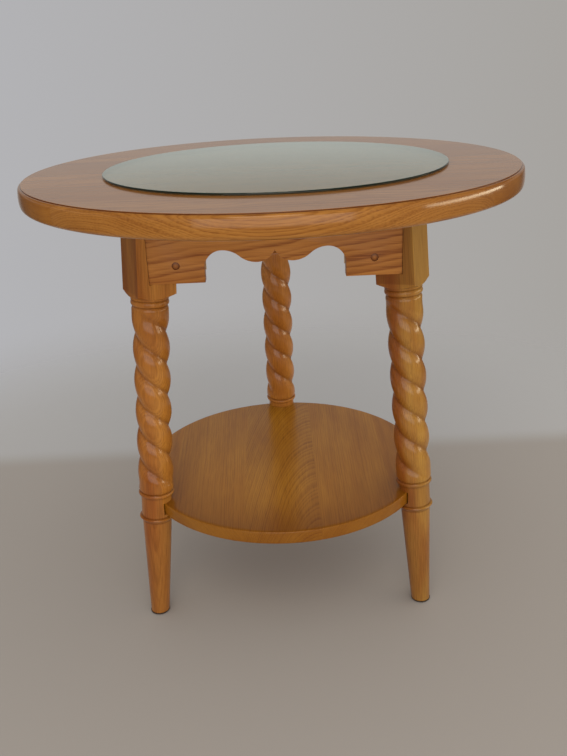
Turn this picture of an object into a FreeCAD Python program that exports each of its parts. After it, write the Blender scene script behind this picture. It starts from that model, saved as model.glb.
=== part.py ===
import FreeCAD, Part
import math
import os
import re
import Sketcher

# Round three-legged table with a moulded top, barley-twist legs, scalloped aprons and a round shelf.
# The origin is on the floor under the middle of the top: +Z is up, -Y is the front and +X the right.
# Each leg has a frame of its own: x points away from the table's middle and z runs up the leg's axis.

# Driving dimensions: name, value and meaning. Lengths are in millimetres and angles in degrees.
SIZES = [
    ("table_height", 629, "floor to the upper face of the wooden top"),
    ("top_diameter", 660, "top, over the belly of its edge"),
    ("top_thickness", 28, "top boards"),
    ("top_ledge_inset", 4.7, "flat upper face stops this far inside the belly"),
    ("top_quirk_depth", 1.2, "small step round the upper face"),
    ("top_belly", 1.5, "rise of the edge's long curve"),
    ("top_upper_round", 3, "rounding of the edge below the step"),
    ("top_lower_round", 5, "rounding of the edge at the underside"),
    ("glass_diameter", 457, "loose glass disc"),
    ("glass_thickness", 3.2, "glass disc"),
    ("glass_edge_round", 1.3, "pencil edge of the glass"),
    ("glass_right", 6, "the glass lies this far right of the middle"),
    ("glass_front", 2, "and this far to the front"),
    ("shelf_diameter", 420, "shelf over its rim"),
    ("shelf_thickness", 18, "shelf boards"),
    ("shelf_height", 187, "floor to the upper face of the shelf"),
    ("shelf_edge_round", 1.5, "eased rim of the shelf"),
    ("shelf_rim_gap", 2.74, "the rim stops this far short of the leg axes"),
    ("leg_lean", 4.1, "angle between a leg and the vertical"),
    ("block_side", 53.3, "square block at the head of a leg"),
    ("block_chamfer", 0.8, "eased corners of the block"),
    ("glide_height", 3, "nail-on glide under a foot"),
    ("glide_radius", 13.9, "glide at its widest"),
    ("glide_bevel", 1.6, "bevel round the underside of the glide"),
    ("nail_radius", 1.4, "nail of the glide"),
    ("nail_length", 18, "nail above the glide"),
    ("foot_end_radius", 13.4, "foot at the floor"),
    ("foot_top_radius", 20.6, "foot under its ring"),
    ("ring_height", 8, "ring between the foot and the collar"),
    ("ring_lip_rise", 5.3, "underside of the ring to its widest place"),
    ("ring_radius", 24.6, "ring at its widest"),
    ("ring_round", 3.6, "radius of the ring's section over its widest place"),
    ("ring_cove", 9, "radius of the hollow under it"),
    ("collar_radius", 21.4, "plain collar that holds the shelf"),
    ("collar_drop", 4, "collar below the underside of the shelf"),
    ("collar_rise", 9.5, "collar over the upper face of the shelf"),
    ("low_bead_height", 6.6, "bead under the twist"),
    ("low_bead_curve", 3.5, "radius of its section"),
    ("high_bead_height", 8.7, "bead over the twist"),
    ("high_bead_curve", 5.3, "radius of its section"),
    ("neck_radius", 23, "grooves beside the beads"),
    ("twist_radius", 24.5, "crest of the twist"),
    ("twist_depth", 5.3, "depth of its valleys"),
    ("twist_lead", 90, "height of one full turn"),
    ("twist_start_angle", 9, "a valley's angle from outward at the upper end"),
    ("twist_fade", 30, "height over which a valley runs out at each end"),
    ("twist_shoulder", 5, "height over which the twist rounds over at each end"),
    ("twist_end_radius", 22.6, "twist where it enters the necks"),
    ("twist_core_radius", 12, "plain core inside the twist"),
    ("twist_joint", 1, "the twist runs this far into the necks"),
    ("head_length", 130.04, "leg over the twist, measured along its axis"),
    ("fillet_radius", 25, "narrow band between the upper bead and the shoulder"),
    ("fillet_height", 2.8, "narrow band"),
    ("shoulder_radius", 38.4, "shoulder at its top, just outside the block's corners"),
    ("shoulder_rise", 9.2, "upper bead to the top of the shoulder"),
    ("apron_outset", 26.31, "an apron's face lies this far outside the line through two leg axes"),
    ("apron_end_inset", 4, "an apron's end stops this far short of the leg axis"),
    ("apron_thickness", 19, "apron board"),
    ("apron_height", 97, "apron board at its ends"),
    ("apron_end_gap", 0.4, "shadow gap between an apron and the housing in the block"),
    ("apron_foot_width", 70.8, "full-height end of an apron, outside its arch"),
    ("arch_curve", 22.5, "quarter-round at each end of the arch"),
    ("arch_rise", 40.3, "lower edge of the apron to the top of the arch"),
    ("lobe_rise", 23.5, "lower edge of the apron to the bottom of a lobe"),
    ("lobe_place", 22.6, "middle of the apron to the bottom of a lobe"),
    ("cusp_rise", 38.2, "lower edge of the apron to the point between the lobes"),
    ("plug_end_distance", 35, "end of an apron to its plug"),
    ("plug_rise", 23, "lower edge of the apron to the plugs"),
    ("plug_hole_radius", 5, "counterbore for a plug and screw head"),
    ("plug_hole_depth", 8, "counterbore"),
    ("plug_recess", 0.8, "the plug's face lies this far inside the apron's face"),
    ("plug_thickness", 4, "wood plug"),
    ("corner_height", 85, "corner block"),
    ("corner_depth", 28.35, "corner block under the top, from its inner face to the leg"),
    ("screw_radius", 2.1, "shank of an apron or top screw"),
    ("screw_head_radius", 4.2, "head of an apron or top screw"),
    ("screw_head_height", 3, "head of an apron or top screw"),
    ("apron_screw_length", 30, "apron screw below its head"),
    ("top_screw_length", 50, "top screw below its head"),
    ("top_screw_grip", 33, "corner block that a top screw's head bears on"),
    ("top_screw_inset", 15, "inner face of a corner block to its top screws"),
    ("top_screw_spacing", 52, "between the two top screws of a corner block"),
    ("top_screw_bore_radius", 5.5, "counterbore for a top screw"),
    ("lag_drop", 39, "underside of the top to the axis of a lag screw"),
    ("lag_radius", 4, "shank of a lag screw"),
    ("lag_length", 64, "lag screw below its head"),
    ("lag_head_across", 13, "hexagon head over its flats"),
    ("lag_head_height", 5.3, "hexagon head"),
    ("washer_radius", 11, "washer"),
    ("washer_thickness", 2, "washer"),
    ("hole_clearance", 0.05, "gap round a screw, nail or plug in its hole"),
    ("hole_bottom_gap", 0.5, "room past the end of a screw or nail"),
    ("slot_gap", 2, "gap between the shelf's rim and the end of a leg's slot"),
    ("cut_overrun", 5, "cutting shapes reach this far past what they cut"),
]
# angle between two aprons, and between two faces of a hexagon head
CORNER_ANGLE = 60
# Sizes that follow from those: name, formula and meaning.
FOLLOWING_SIZES = [
    ("top_underside", "table_height - top_thickness", "floor to the underside of the top"),
    ("shelf_underside", "shelf_height - shelf_thickness", "floor to the underside of the shelf"),
    ("shelf_middle", "shelf_height - shelf_thickness / 2", "floor to the middle of the shelf"),
    ("foot_circle_diameter", "shelf_diameter + 2 * (shelf_rim_gap + shelf_middle * tan(leg_lean))",
     "circle through the leg axes at the floor"),
    ("leg_length", "top_underside / cos(leg_lean)", "leg along its axis, from the floor to the top"),
    ("ring_top", "shelf_underside - collar_drop", "up the leg's axis: top of the ring"),
    ("ring_low", "ring_top - ring_height", "up the leg's axis: underside of the ring"),
    ("foot_taper", "(foot_top_radius - foot_end_radius) / ring_low", "growth of the foot's radius"),
    ("low_bead_low", "shelf_height + collar_rise", "up the leg's axis: underside of the lower bead"),
    ("twist_low", "low_bead_low + low_bead_height", "up the leg's axis: lower end of the twist"),
    ("twist_high", "leg_length - head_length", "up the leg's axis: upper end of the twist"),
    ("high_bead_top", "twist_high + high_bead_height", "up the leg's axis: top of the upper bead"),
    ("shoulder_high", "high_bead_top + shoulder_rise", "up the leg's axis: top of the shoulder"),
    ("apron_bottom", "top_underside - apron_height", "floor to the lower edge of an apron"),
    ("axis_distance", "foot_circle_diameter / 2 - apron_bottom * tan(leg_lean)",
     "middle of the table to a leg axis, level with the lower edge of the aprons"),
    ("apron_distance", f"axis_distance * cos({CORNER_ANGLE}) + apron_outset",
     "middle of the table to the outer face of an apron"),
    ("apron_back", "apron_distance - apron_thickness", "middle of the table to an apron's back"),
    ("apron_length", f"2 * (axis_distance * sin({CORNER_ANGLE}) - apron_end_inset)",
     "apron from end to end"),
    ("arch_half_width", "apron_length / 2 - apron_foot_width",
     "middle of the apron to the upright edge of its arch"),
    ("ogee_width", "arch_half_width - arch_curve - lobe_place", "ogee between arch and lobe"),
    ("ogee_height", "arch_rise - lobe_rise", "ogee between arch and lobe"),
    ("ogee_curve", "(ogee_width^2 + ogee_height^2) / (4 * ogee_height)",
     "radius of both halves of the ogee"),
    ("cusp_height", "cusp_rise - lobe_rise", "bottom of a lobe to the point between the lobes"),
    ("cusp_curve", "(lobe_place^2 + cusp_height^2) / (2 * cusp_height)",
     "radius of a lobe's inner flank"),
    ("plug_spacing", "apron_length - 2 * plug_end_distance", "between the two plugs of an apron"),
    ("plug_height", "apron_bottom + plug_rise", "floor to the plugs"),
    ("corner_bottom", "top_underside - corner_height", "floor to the underside of a corner block"),
    ("block_distance",
     "foot_circle_diameter / 2 - top_underside * tan(leg_lean) - block_side / 2 / cos(leg_lean)",
     "middle of the table to the inner face of a leg's block, under the top"),
    ("corner_inner", "block_distance - corner_depth",
     "middle of the table to the inner face of a corner block"),
    ("top_screw_distance", "corner_inner + top_screw_inset", "middle of the table to the top screws"),
    ("top_screw_seat", "top_underside - top_screw_grip", "floor to the heads of the top screws"),
    ("lag_height", "top_underside - lag_drop", "floor to the axis of a lag screw"),
]
TOP_BOARDS = 6
# glue lines of the shelf as shares of its diameter, from the middle to the right
SHELF_JOINT_SHARES = (-0.39, -0.14, 0.11, 0.36)
REAR_AZIMUTH = 90
LEG_AZIMUTHS = {
    "front_left": REAR_AZIMUTH + 2 * CORNER_ANGLE,
    "front_right": REAR_AZIMUTH - 2 * CORNER_ANGLE,
    "rear": REAR_AZIMUTH,
}
APRON_TURNS = {"front": 0, "right": 2 * CORNER_ANGLE, "left": -2 * CORNER_ANGLE}
TWIST_STARTS = 2
TWIST_ROWS_A_TURN = 15
TWIST_POINTS_ACROSS = 9
SIDES = (-1, 1)
# how closely an edge's height and radius agree when it is looked for
MATCH = 0.001

Vector = FreeCAD.Vector
UP = Vector(0, 0, 1)
ACROSS = Vector(0, 1, 0)
NO_TURN = FreeCAD.Rotation()

document = FreeCAD.newDocument("RoundTable")
sheet = document.addObject("Spreadsheet::Sheet", "Sizes")
for row, (alias, content, meaning) in enumerate(SIZES + FOLLOWING_SIZES, start=1):
    sheet.set(f"A{row}", alias)
    sheet.set(f"B{row}", f"={content}")
    sheet.set(f"C{row}", meaning)
    sheet.setAlias(f"B{row}", alias)
document.recompute()
ALIASES = {size[0] for size in SIZES + FOLLOWING_SIZES}


def named(formula):
    """the formula with the sheet's name before each size"""
    return re.sub(r"[a-z_]+", lambda word: f"Sizes.{word[0]}" if word[0] in ALIASES else word[0], formula)


def value(formula):
    """the number that a formula of sizes comes to"""
    return float(sheet.evalExpression(named(formula)))


def bind(item, formulas):
    """bind properties of an object to formulas of sizes"""
    for prop, formula in formulas.items():
        item.setExpression(prop, named(formula))


def add(kind, name, formulas=None, **links):
    """a document object with bound sizes and links to other objects"""
    item = document.addObject(kind, name)
    item.Label = name
    for prop, link in links.items():
        setattr(item, prop, link)
    bind(item, formulas or {})
    return item


def turned_about_middle(azimuth, place=Vector(), turn=NO_TURN):
    """a placement given for azimuth 0, swung round the table's middle"""
    swing = FreeCAD.Placement(Vector(), FreeCAD.Rotation(UP, azimuth))
    return swing.multiply(FreeCAD.Placement(place, turn))


def leg_frame(azimuth):
    """the frame of the leg at an azimuth: its origin on the floor, its z up the leaning axis"""
    lean = FreeCAD.Rotation(ACROSS, -value("leg_lean"))
    return turned_about_middle(azimuth, Vector(value("foot_circle_diameter / 2"), 0, 0), lean)


def origin_plane(body, role):
    """one of a body's own origin planes"""
    return next(plane for plane in body.Origin.OriginFeatures if plane.Role == role)


def new_body(name):
    """an empty body"""
    return add("PartDesign::Body", name)


def new_sketch(body, name, role, offset="0"):
    """a sketch on one of the body's origin planes, moved along the plane's normal"""
    sketch = body.newObject("Sketcher::SketchObject", name)
    sketch.AttachmentSupport = [(origin_plane(body, role), "")]
    sketch.MapMode = "FlatFace"
    bind(sketch, {"AttachmentOffset.Base.z": offset})
    return sketch


def constrain(sketch, name, formula, kind, *geometry):
    """add a dimension to a sketch and bind it to a formula"""
    index = sketch.addConstraint(Sketcher.Constraint(kind, *geometry, value(formula)))
    sketch.renameConstraint(index, name)
    bind(sketch, {f"Constraints.{name}": formula})


def draw_outline(sketch, corners):
    """a closed outline: each corner is (x, y) or (x, y, radius, side) where an arc leaves it

    The side is 1 where the arc's centre lies to the left of the way to the next corner, -1 to the right.
    """
    places = [Vector(value(corner[0]), value(corner[1]), 0) for corner in corners]
    starts, ends = [], []
    for index, corner in enumerate(corners):
        here, there = places[index], places[(index + 1) % len(places)]
        if len(corner) == 2:
            sketch.addGeometry(Part.LineSegment(here, there), False)
            starts.append(1)
            ends.append(2)
            continue
        radius, side = value(corner[2]), corner[3]
        chord = there - here
        left = Vector(-chord.y, chord.x, 0).normalize()
        reach = math.sqrt(radius * radius - chord.Length * chord.Length / 4)
        centre = (here + there) / 2 + left * side * reach
        first, last = (here, there) if side > 0 else (there, here)
        angles = [math.atan2(point.y - centre.y, point.x - centre.x) for point in (first, last)]
        if angles[1] < angles[0]:
            angles[1] += math.tau
        circle = Part.Circle(centre, UP, radius)
        sketch.addGeometry(Part.ArcOfCircle(circle, angles[0], angles[1]), False)
        starts.append(1 if side > 0 else 2)
        ends.append(2 if side > 0 else 1)
        constrain(sketch, f"radius_{index}", corner[2], "Radius", index)
    for index, corner in enumerate(corners):
        after = (index + 1) % len(corners)
        sketch.addConstraint(Sketcher.Constraint("Coincident", index, ends[index], after, starts[after]))
        constrain(sketch, f"x_{index}", corner[0], "DistanceX", -1, 1, index, starts[index])
        constrain(sketch, f"y_{index}", corner[1], "DistanceY", -1, 1, index, starts[index])


def draw_circles(sketch, radius, centres=(("0", "0"),)):
    """circles of one radius about centres given as formulas"""
    for centre in centres:
        place = Vector(value(centre[0]), value(centre[1]), 0)
        index = sketch.addGeometry(Part.Circle(place, UP, value(radius)), False)
        constrain(sketch, f"radius_{index}", radius, "Radius", index)
        constrain(sketch, f"x_{index}", centre[0], "DistanceX", -1, 1, index, 3)
        constrain(sketch, f"y_{index}", centre[1], "DistanceY", -1, 1, index, 3)


def pad(body, sketch, length, reverse=False):
    """a pad of a sketch, by a formula"""
    feature = body.newObject("PartDesign::Pad", f"{body.Name}_pad")
    feature.Profile = sketch
    feature.Reversed = reverse
    bind(feature, {"Length": length})
    return feature


def revolve(body, sketch, kind="PartDesign::Revolution"):
    """a revolution or groove of a sketch about its upright axis"""
    feature = body.newObject(kind, f"{body.Name}_turning")
    feature.Profile = sketch
    feature.ReferenceAxis = (sketch, ["V_Axis"])
    feature.Angle = 360
    return feature


def pocket(body, sketch, depth, reverse=False):
    """a pocket of a sketch that has to take material away"""
    before = body.Tip.Shape.Volume
    feature = body.newObject("PartDesign::Pocket", f"{sketch.Name}_pocket")
    feature.Profile = sketch
    feature.Reversed = reverse
    bind(feature, {"Length": depth})
    document.recompute()
    if feature.Shape.Volume >= before:
        raise RuntimeError(f"{feature.Label} removes nothing")
    return feature


def level_edge(edge, height):
    """whether an edge lies level at a height"""
    box = edge.BoundBox
    return box.ZLength < MATCH and abs((box.ZMin + box.ZMax) / 2 - height) < MATCH


def circle_edges(shape, radius, height):
    """names of the full-circle edges of a radius at a height"""
    names = []
    for index, edge in enumerate(shape.Edges, start=1):
        if not level_edge(edge, height) or not isinstance(edge.Curve, Part.Circle):
            continue
        if abs(edge.Curve.Radius - radius) < MATCH:
            names.append(f"Edge{index}")
    return names


def round_circle(body, radius, height, size):
    """a fillet on the circular edge of a radius at a height"""
    document.recompute()
    base = body.Tip
    names = circle_edges(base.Shape, value(radius), value(height))
    feature = body.newObject("PartDesign::Fillet", f"{body.Name}_round")
    feature.Base = (base, names)
    bind(feature, {"Radius": size})
    return feature


def stepped_pin(name, steps):
    """a turned pin along z: each step is (radius, height of its upper end), from z = 0 up"""
    body = new_body(name)
    sketch = new_sketch(body, f"{name}_section", "XZ_Plane")
    corners = [("0", "0")]
    below = "0"
    for radius, height in steps:
        corners += [(radius, below), (radius, height)]
        below = height
    corners.append(("0", below))
    draw_outline(sketch, corners)
    revolve(body, sketch)
    return body


def group(name, members):
    """a node that holds several like solids"""
    return add("Part::Compound", name, Links=members)


def slabs(name, blank, lines, along_x, low, height, reach):
    """cut a round blank into boards along glue lines, named from the first line on"""
    boards = []
    edges = [f"-({reach})", *lines, reach]
    for index in range(len(edges) - 1):
        near, far = edges[index], edges[index + 1]
        across, along = ("y", "x") if along_x else ("x", "y")
        slab = add("Part::Box", f"{name}_{index + 1}_slab", {
            "Width" if along_x else "Length": f"({far}) - ({near})",
            "Length" if along_x else "Width": f"2 * ({reach})",
            "Height": height,
            f"Placement.Base.{across}": near,
            f"Placement.Base.{along}": f"-({reach})",
            "Placement.Base.z": low,
        })
        boards.append(add("Part::Common", f"{name}_{index + 1}", Base=blank, Tool=slab))
    return boards


# Top: a disc with a moulded edge, bored for the screws that hold it and ripped into its boards.
def make_top():
    """the boards of the top"""
    body = new_body("top_blank")
    sketch = new_sketch(body, "top_section", "XZ_Plane")
    rim = "(top_diameter / 2)"
    edge_curve = "((top_thickness - top_quirk_depth)^2 / (8 * top_belly) + top_belly / 2)"
    draw_outline(sketch, [
        ("0", "top_underside"),
        (f"{rim} - top_belly", "top_underside", edge_curve, 1),
        (f"{rim} - top_belly", "table_height - top_quirk_depth"),
        (f"{rim} - top_ledge_inset", "table_height - top_quirk_depth"),
        (f"{rim} - top_ledge_inset", "table_height"),
        ("0", "table_height"),
    ])
    revolve(body, sketch)
    round_circle(body, f"{rim} - top_belly", "table_height - top_quirk_depth", "top_upper_round")
    round_circle(body, f"{rim} - top_belly", "top_underside", "top_lower_round")
    pilots = []
    for index, place in enumerate(top_screw_places()):
        pilot = add("Part::Cylinder", f"top_pilot_{index + 1}", {
            "Radius": "screw_radius + hole_clearance",
            "Height": "cut_overrun + top_screw_length - top_screw_grip + hole_bottom_gap",
        })
        pilot.Placement = FreeCAD.Placement(place - UP * value("cut_overrun"), NO_TURN)
        pilots.append(pilot)
    bored = add("Part::Cut", "top_bored", Base=body, Tool=group("top_pilots", pilots))
    lines = [f"({index} / {TOP_BOARDS} - 0.5) * top_diameter" for index in range(1, TOP_BOARDS)]
    reach = "top_diameter / 2 + cut_overrun"
    low = "top_underside - cut_overrun"
    return slabs("top_board", bored, lines, True, low, "top_thickness + 2 * cut_overrun", reach)


def top_screw_places():
    """points on the underside of the top where its screws enter"""
    places = []
    for azimuth in LEG_AZIMUTHS.values():
        for side in SIDES:
            across = side * value("top_screw_spacing / 2")
            place = Vector(value("top_screw_distance"), across, value("top_underside"))
            places.append(turned_about_middle(azimuth, place).Base)
    return places


# Glass: a loose disc with a pencil edge, lying on the top a little to the front.
def make_glass():
    """the glass disc"""
    body = new_body("glass_disc")
    sketch = new_sketch(body, "glass_outline", "XY_Plane")
    draw_circles(sketch, "glass_diameter / 2")
    pad(body, sketch, "glass_thickness")
    round_circle(body, "glass_diameter / 2", "0", "glass_edge_round")
    round_circle(body, "glass_diameter / 2", "glass_thickness", "glass_edge_round")
    bind(body, {
        "Placement.Base.x": "glass_right",
        "Placement.Base.y": "-glass_front",
        "Placement.Base.z": "table_height",
    })
    return [body]


# Shelf: a disc with an eased rim, ripped into its boards from front to back.
def make_shelf():
    """the boards of the shelf"""
    body = new_body("shelf_blank")
    sketch = new_sketch(body, "shelf_outline", "XY_Plane", "shelf_underside")
    draw_circles(sketch, "shelf_diameter / 2")
    pad(body, sketch, "shelf_thickness")
    round_circle(body, "shelf_diameter / 2", "shelf_underside", "shelf_edge_round")
    round_circle(body, "shelf_diameter / 2", "shelf_height", "shelf_edge_round")
    lines = [f"({share}) * shelf_diameter" for share in SHELF_JOINT_SHARES]
    reach = "shelf_diameter / 2 + cut_overrun"
    low = "shelf_underside - cut_overrun"
    return slabs("shelf_board", body, lines, False, low, "shelf_thickness + 2 * cut_overrun", reach)


# Legs: a square blank is turned from its shoulder down, the twist takes the place of a plain stretch,
# and the leg is then trimmed level, housed for two aprons, slotted for the shelf and bored.
def twist_point(height, ridge, share):
    """a point of a ridge of the twist; the share runs from -1 at one valley to 1 at the next"""
    low, high = value("twist_low"), value("twist_high")
    end_distance = min(height - low, high - height)
    fade = min(max(end_distance / value("twist_fade"), 0), 1)
    depth = value("twist_depth") * fade * fade * (3 - 2 * fade)
    climb = min(end_distance / value("twist_shoulder"), 1)
    rise = value("twist_radius - twist_end_radius") * math.sin(math.pi / 2 * climb)
    radius = value("twist_end_radius") + rise - depth * share * share
    half_ridge = 180 / TWIST_STARTS
    crest = value("twist_start_angle") + half_ridge + 360 * ((high - height) / value("twist_lead"))
    angle = math.radians(crest + ridge * 2 * half_ridge + share * half_ridge)
    return Vector(radius * math.cos(angle), radius * math.sin(angle), height)


def twist_solid():
    """the barley twist: two ridges of parabolic section that climb left-handed and meet in valleys"""
    low, high = value("twist_low - twist_joint"), value("twist_high + twist_joint")
    rows = round((high - low) / value("twist_lead") * TWIST_ROWS_A_TURN)
    heights = [low + (high - low) * row / rows for row in range(rows + 1)]
    shares = [2 * point / (TWIST_POINTS_ACROSS - 1) - 1 for point in range(TWIST_POINTS_ACROSS)]
    faces = []
    for ridge in range(TWIST_STARTS):
        surface = Part.BSplineSurface()
        surface.interpolate([[twist_point(height, ridge, share) for share in shares] for height in heights])
        faces.append(surface.toShape())
    for height in (low, high):
        rim = [edge for face in faces for edge in face.Edges if level_edge(edge, height)]
        faces.append(Part.Face(Part.Wire(Part.sortEdges(rim)[0])))
    shell = Part.Compound(faces)
    shell.sewShape()
    return Part.makeSolid(Part.Shell(shell.Faces))


def make_leg_blank(name):
    """the turned leg with its square block, in the leg's own frame"""
    body = new_body(f"leg_{name}_blank")
    square = new_sketch(body, f"leg_{name}_square", "XY_Plane", "-cut_overrun")
    half = "block_side / 2"
    draw_outline(square, [(f"-{half}", f"-{half}"), (half, f"-{half}"), (half, half), (f"-{half}", half)])
    stock = pad(body, square, "leg_length + 2 * cut_overrun")
    document.recompute()
    long_edges = [f"Edge{index}" for index, edge in enumerate(stock.Shape.Edges, start=1)
                  if edge.BoundBox.ZLength > value("block_side")]
    eased = body.newObject("PartDesign::Chamfer", f"leg_{name}_eased")
    eased.Base = (stock, long_edges)
    bind(eased, {"Size": "block_chamfer"})
    document.recompute()
    waste = new_sketch(body, f"leg_{name}_waste", "XZ_Plane")
    outside = "shoulder_radius + cut_overrun"
    draw_outline(waste, [
        ("foot_end_radius - 2 * cut_overrun * foot_taper", "-2 * cut_overrun"),
        (outside, "-2 * cut_overrun"),
        (outside, "shoulder_high"),
        ("shoulder_radius", "shoulder_high"),
        ("fillet_radius", "high_bead_top + fillet_height"),
        ("fillet_radius", "high_bead_top"),
        ("neck_radius", "high_bead_top", "high_bead_curve", -1),
        ("neck_radius", "twist_high"),
        ("twist_core_radius", "twist_high"),
        ("twist_core_radius", "twist_low"),
        ("neck_radius", "twist_low", "low_bead_curve", -1),
        ("collar_radius", "low_bead_low"),
        ("collar_radius", "ring_top", "ring_round", -1),
        ("ring_radius", "ring_low + ring_lip_rise", "ring_cove", 1),
        ("foot_top_radius", "ring_low"),
    ])
    revolve(body, waste, "PartDesign::Groove")
    return body


def make_legs(cutters):
    """the three legs, trimmed to the floor side of the glides and the underside of the top"""
    legs = []
    for name, azimuth in LEG_AZIMUTHS.items():
        blank = make_leg_blank(name)
        blank.Placement = leg_frame(azimuth)
        twist = document.addObject("Part::Feature", f"leg_{name}_twist")
        twist.Shape = twist_solid()
        twist.Placement = leg_frame(azimuth)
        turned = add("Part::Fuse", f"leg_{name}_turned", Base=blank, Tool=twist)
        level = add("Part::Cylinder", f"leg_{name}_level", {
            "Radius": "foot_circle_diameter",
            "Height": "top_underside - glide_height",
            "Placement.Base.z": "glide_height",
        })
        trimmed = add("Part::Common", f"leg_{name}_trimmed", Base=turned, Tool=level)
        legs.append(add("Part::Cut", f"leg_{name}", Base=trimmed, Tool=cutters))
    return legs


def make_leg_cutters():
    """what is cut from the legs: apron housings, shelf slots, lag holes and nail holes"""
    cutters = []
    for name, turn in APRON_TURNS.items():
        housing = add("Part::Box", f"housing_{name}", {
            "Length": "apron_length + 2 * apron_end_gap",
            "Width": "block_side",
            "Height": "top_underside - apron_bottom + cut_overrun",
        })
        corner = Vector(-value("apron_length / 2 + apron_end_gap"), -value("apron_back + block_side"), 0)
        housing.Placement = turned_about_middle(turn, corner + UP * value("apron_bottom"))
        cutters.append(housing)
    cutters.append(add("Part::Cylinder", "shelf_slots", {
        "Radius": "shelf_diameter / 2 + slot_gap",
        "Height": "shelf_thickness",
        "Placement.Base.z": "shelf_underside",
    }))
    cutters += lag_holes()
    for name, azimuth in LEG_AZIMUTHS.items():
        nail_hole = add("Part::Cylinder", f"nail_hole_{name}", {
            "Radius": "nail_radius + hole_clearance",
            "Height": "glide_height + nail_length + hole_bottom_gap",
        })
        nail_hole.Placement = turned_about_middle(azimuth, Vector(value("foot_circle_diameter / 2"), 0, 0))
        cutters.append(nail_hole)
    return group("leg_cutters", cutters)


def lag_frame(azimuth, distance):
    """a frame on a lag screw's axis, its z pointing away from the table's middle"""
    outward = FreeCAD.Rotation(UP, Vector(1, 0, 0))
    return turned_about_middle(azimuth, Vector(value(distance), 0, value("lag_height")), outward)


def lag_holes():
    """holes for the lag screws, through the corner blocks and into the legs"""
    holes = []
    for name, azimuth in LEG_AZIMUTHS.items():
        hole = add("Part::Cylinder", f"lag_hole_{name}", {
            "Radius": "lag_radius + hole_clearance",
            "Height": "lag_length - washer_thickness + cut_overrun + hole_bottom_gap",
        })
        hole.Placement = lag_frame(azimuth, "corner_inner - cut_overrun")
        holes.append(hole)
    return holes


# Aprons: boards with a scalloped lower edge, housed in the leg blocks.
def apron_half():
    """the right half of the lower edge, from the outer end to the cusp"""
    middle = "((lobe_place + arch_half_width - arch_curve) / 2)"
    return [
        ("apron_length / 2", "0"),
        ("arch_half_width", "0"),
        ("arch_half_width", "arch_rise - arch_curve", "arch_curve", 1),
        ("arch_half_width - arch_curve", "arch_rise", "ogee_curve", 1),
        (middle, "(arch_rise + lobe_rise) / 2", "ogee_curve", -1),
        ("lobe_place", "lobe_rise", "cusp_curve", -1),
    ]


def mirrored(corners):
    """the same corners on the left, in the order that carries the outline on"""
    flipped = []
    for index in range(len(corners) - 1, -1, -1):
        x, y = corners[index][:2]
        leaving = corners[index - 1][2:] if index else ()
        flipped.append((f"-({x})", y, *leaving))
    return flipped


def make_aprons():
    """the three aprons, bored for their plugs and screws"""
    height = "top_underside - apron_bottom"
    right = apron_half()
    cusp = ("0", "cusp_rise", "cusp_curve", -1)
    top_corners = [("-apron_length / 2", height), ("apron_length / 2", height)]
    centres = [(f"{side} * plug_spacing / 2", "plug_rise") for side in SIDES]
    aprons = []
    for name, turn in APRON_TURNS.items():
        body = new_body(f"apron_{name}")
        outline = new_sketch(body, f"apron_{name}_outline", "XZ_Plane")
        draw_outline(outline, [*right, cusp, *mirrored(right), *top_corners])
        pad(body, outline, "apron_thickness", reverse=True)
        document.recompute()
        bores = new_sketch(body, f"apron_{name}_bores", "XZ_Plane")
        draw_circles(bores, "plug_hole_radius", centres)
        pocket(body, bores, "plug_hole_depth")
        holes = new_sketch(body, f"apron_{name}_holes", "XZ_Plane")
        draw_circles(holes, "screw_radius + hole_clearance", centres)
        pocket(body, holes, "apron_thickness + cut_overrun")
        face = Vector(0, -value("apron_distance"), value("apron_bottom"))
        body.Placement = turned_about_middle(turn, face)
        aprons.append(body)
    return aprons


def apron_screw_frames(depth):
    """frames on the apron screws' axes, z into the table, at a depth behind the aprons' outer faces"""
    inward = FreeCAD.Rotation(UP, Vector(0, 1, 0))
    frames = []
    for turn in APRON_TURNS.values():
        for side in SIDES:
            across = side * value("plug_spacing / 2")
            place = Vector(across, value(f"{depth} - apron_distance"), value("plug_height"))
            frames.append(turned_about_middle(turn, place, inward))
    return frames


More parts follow.
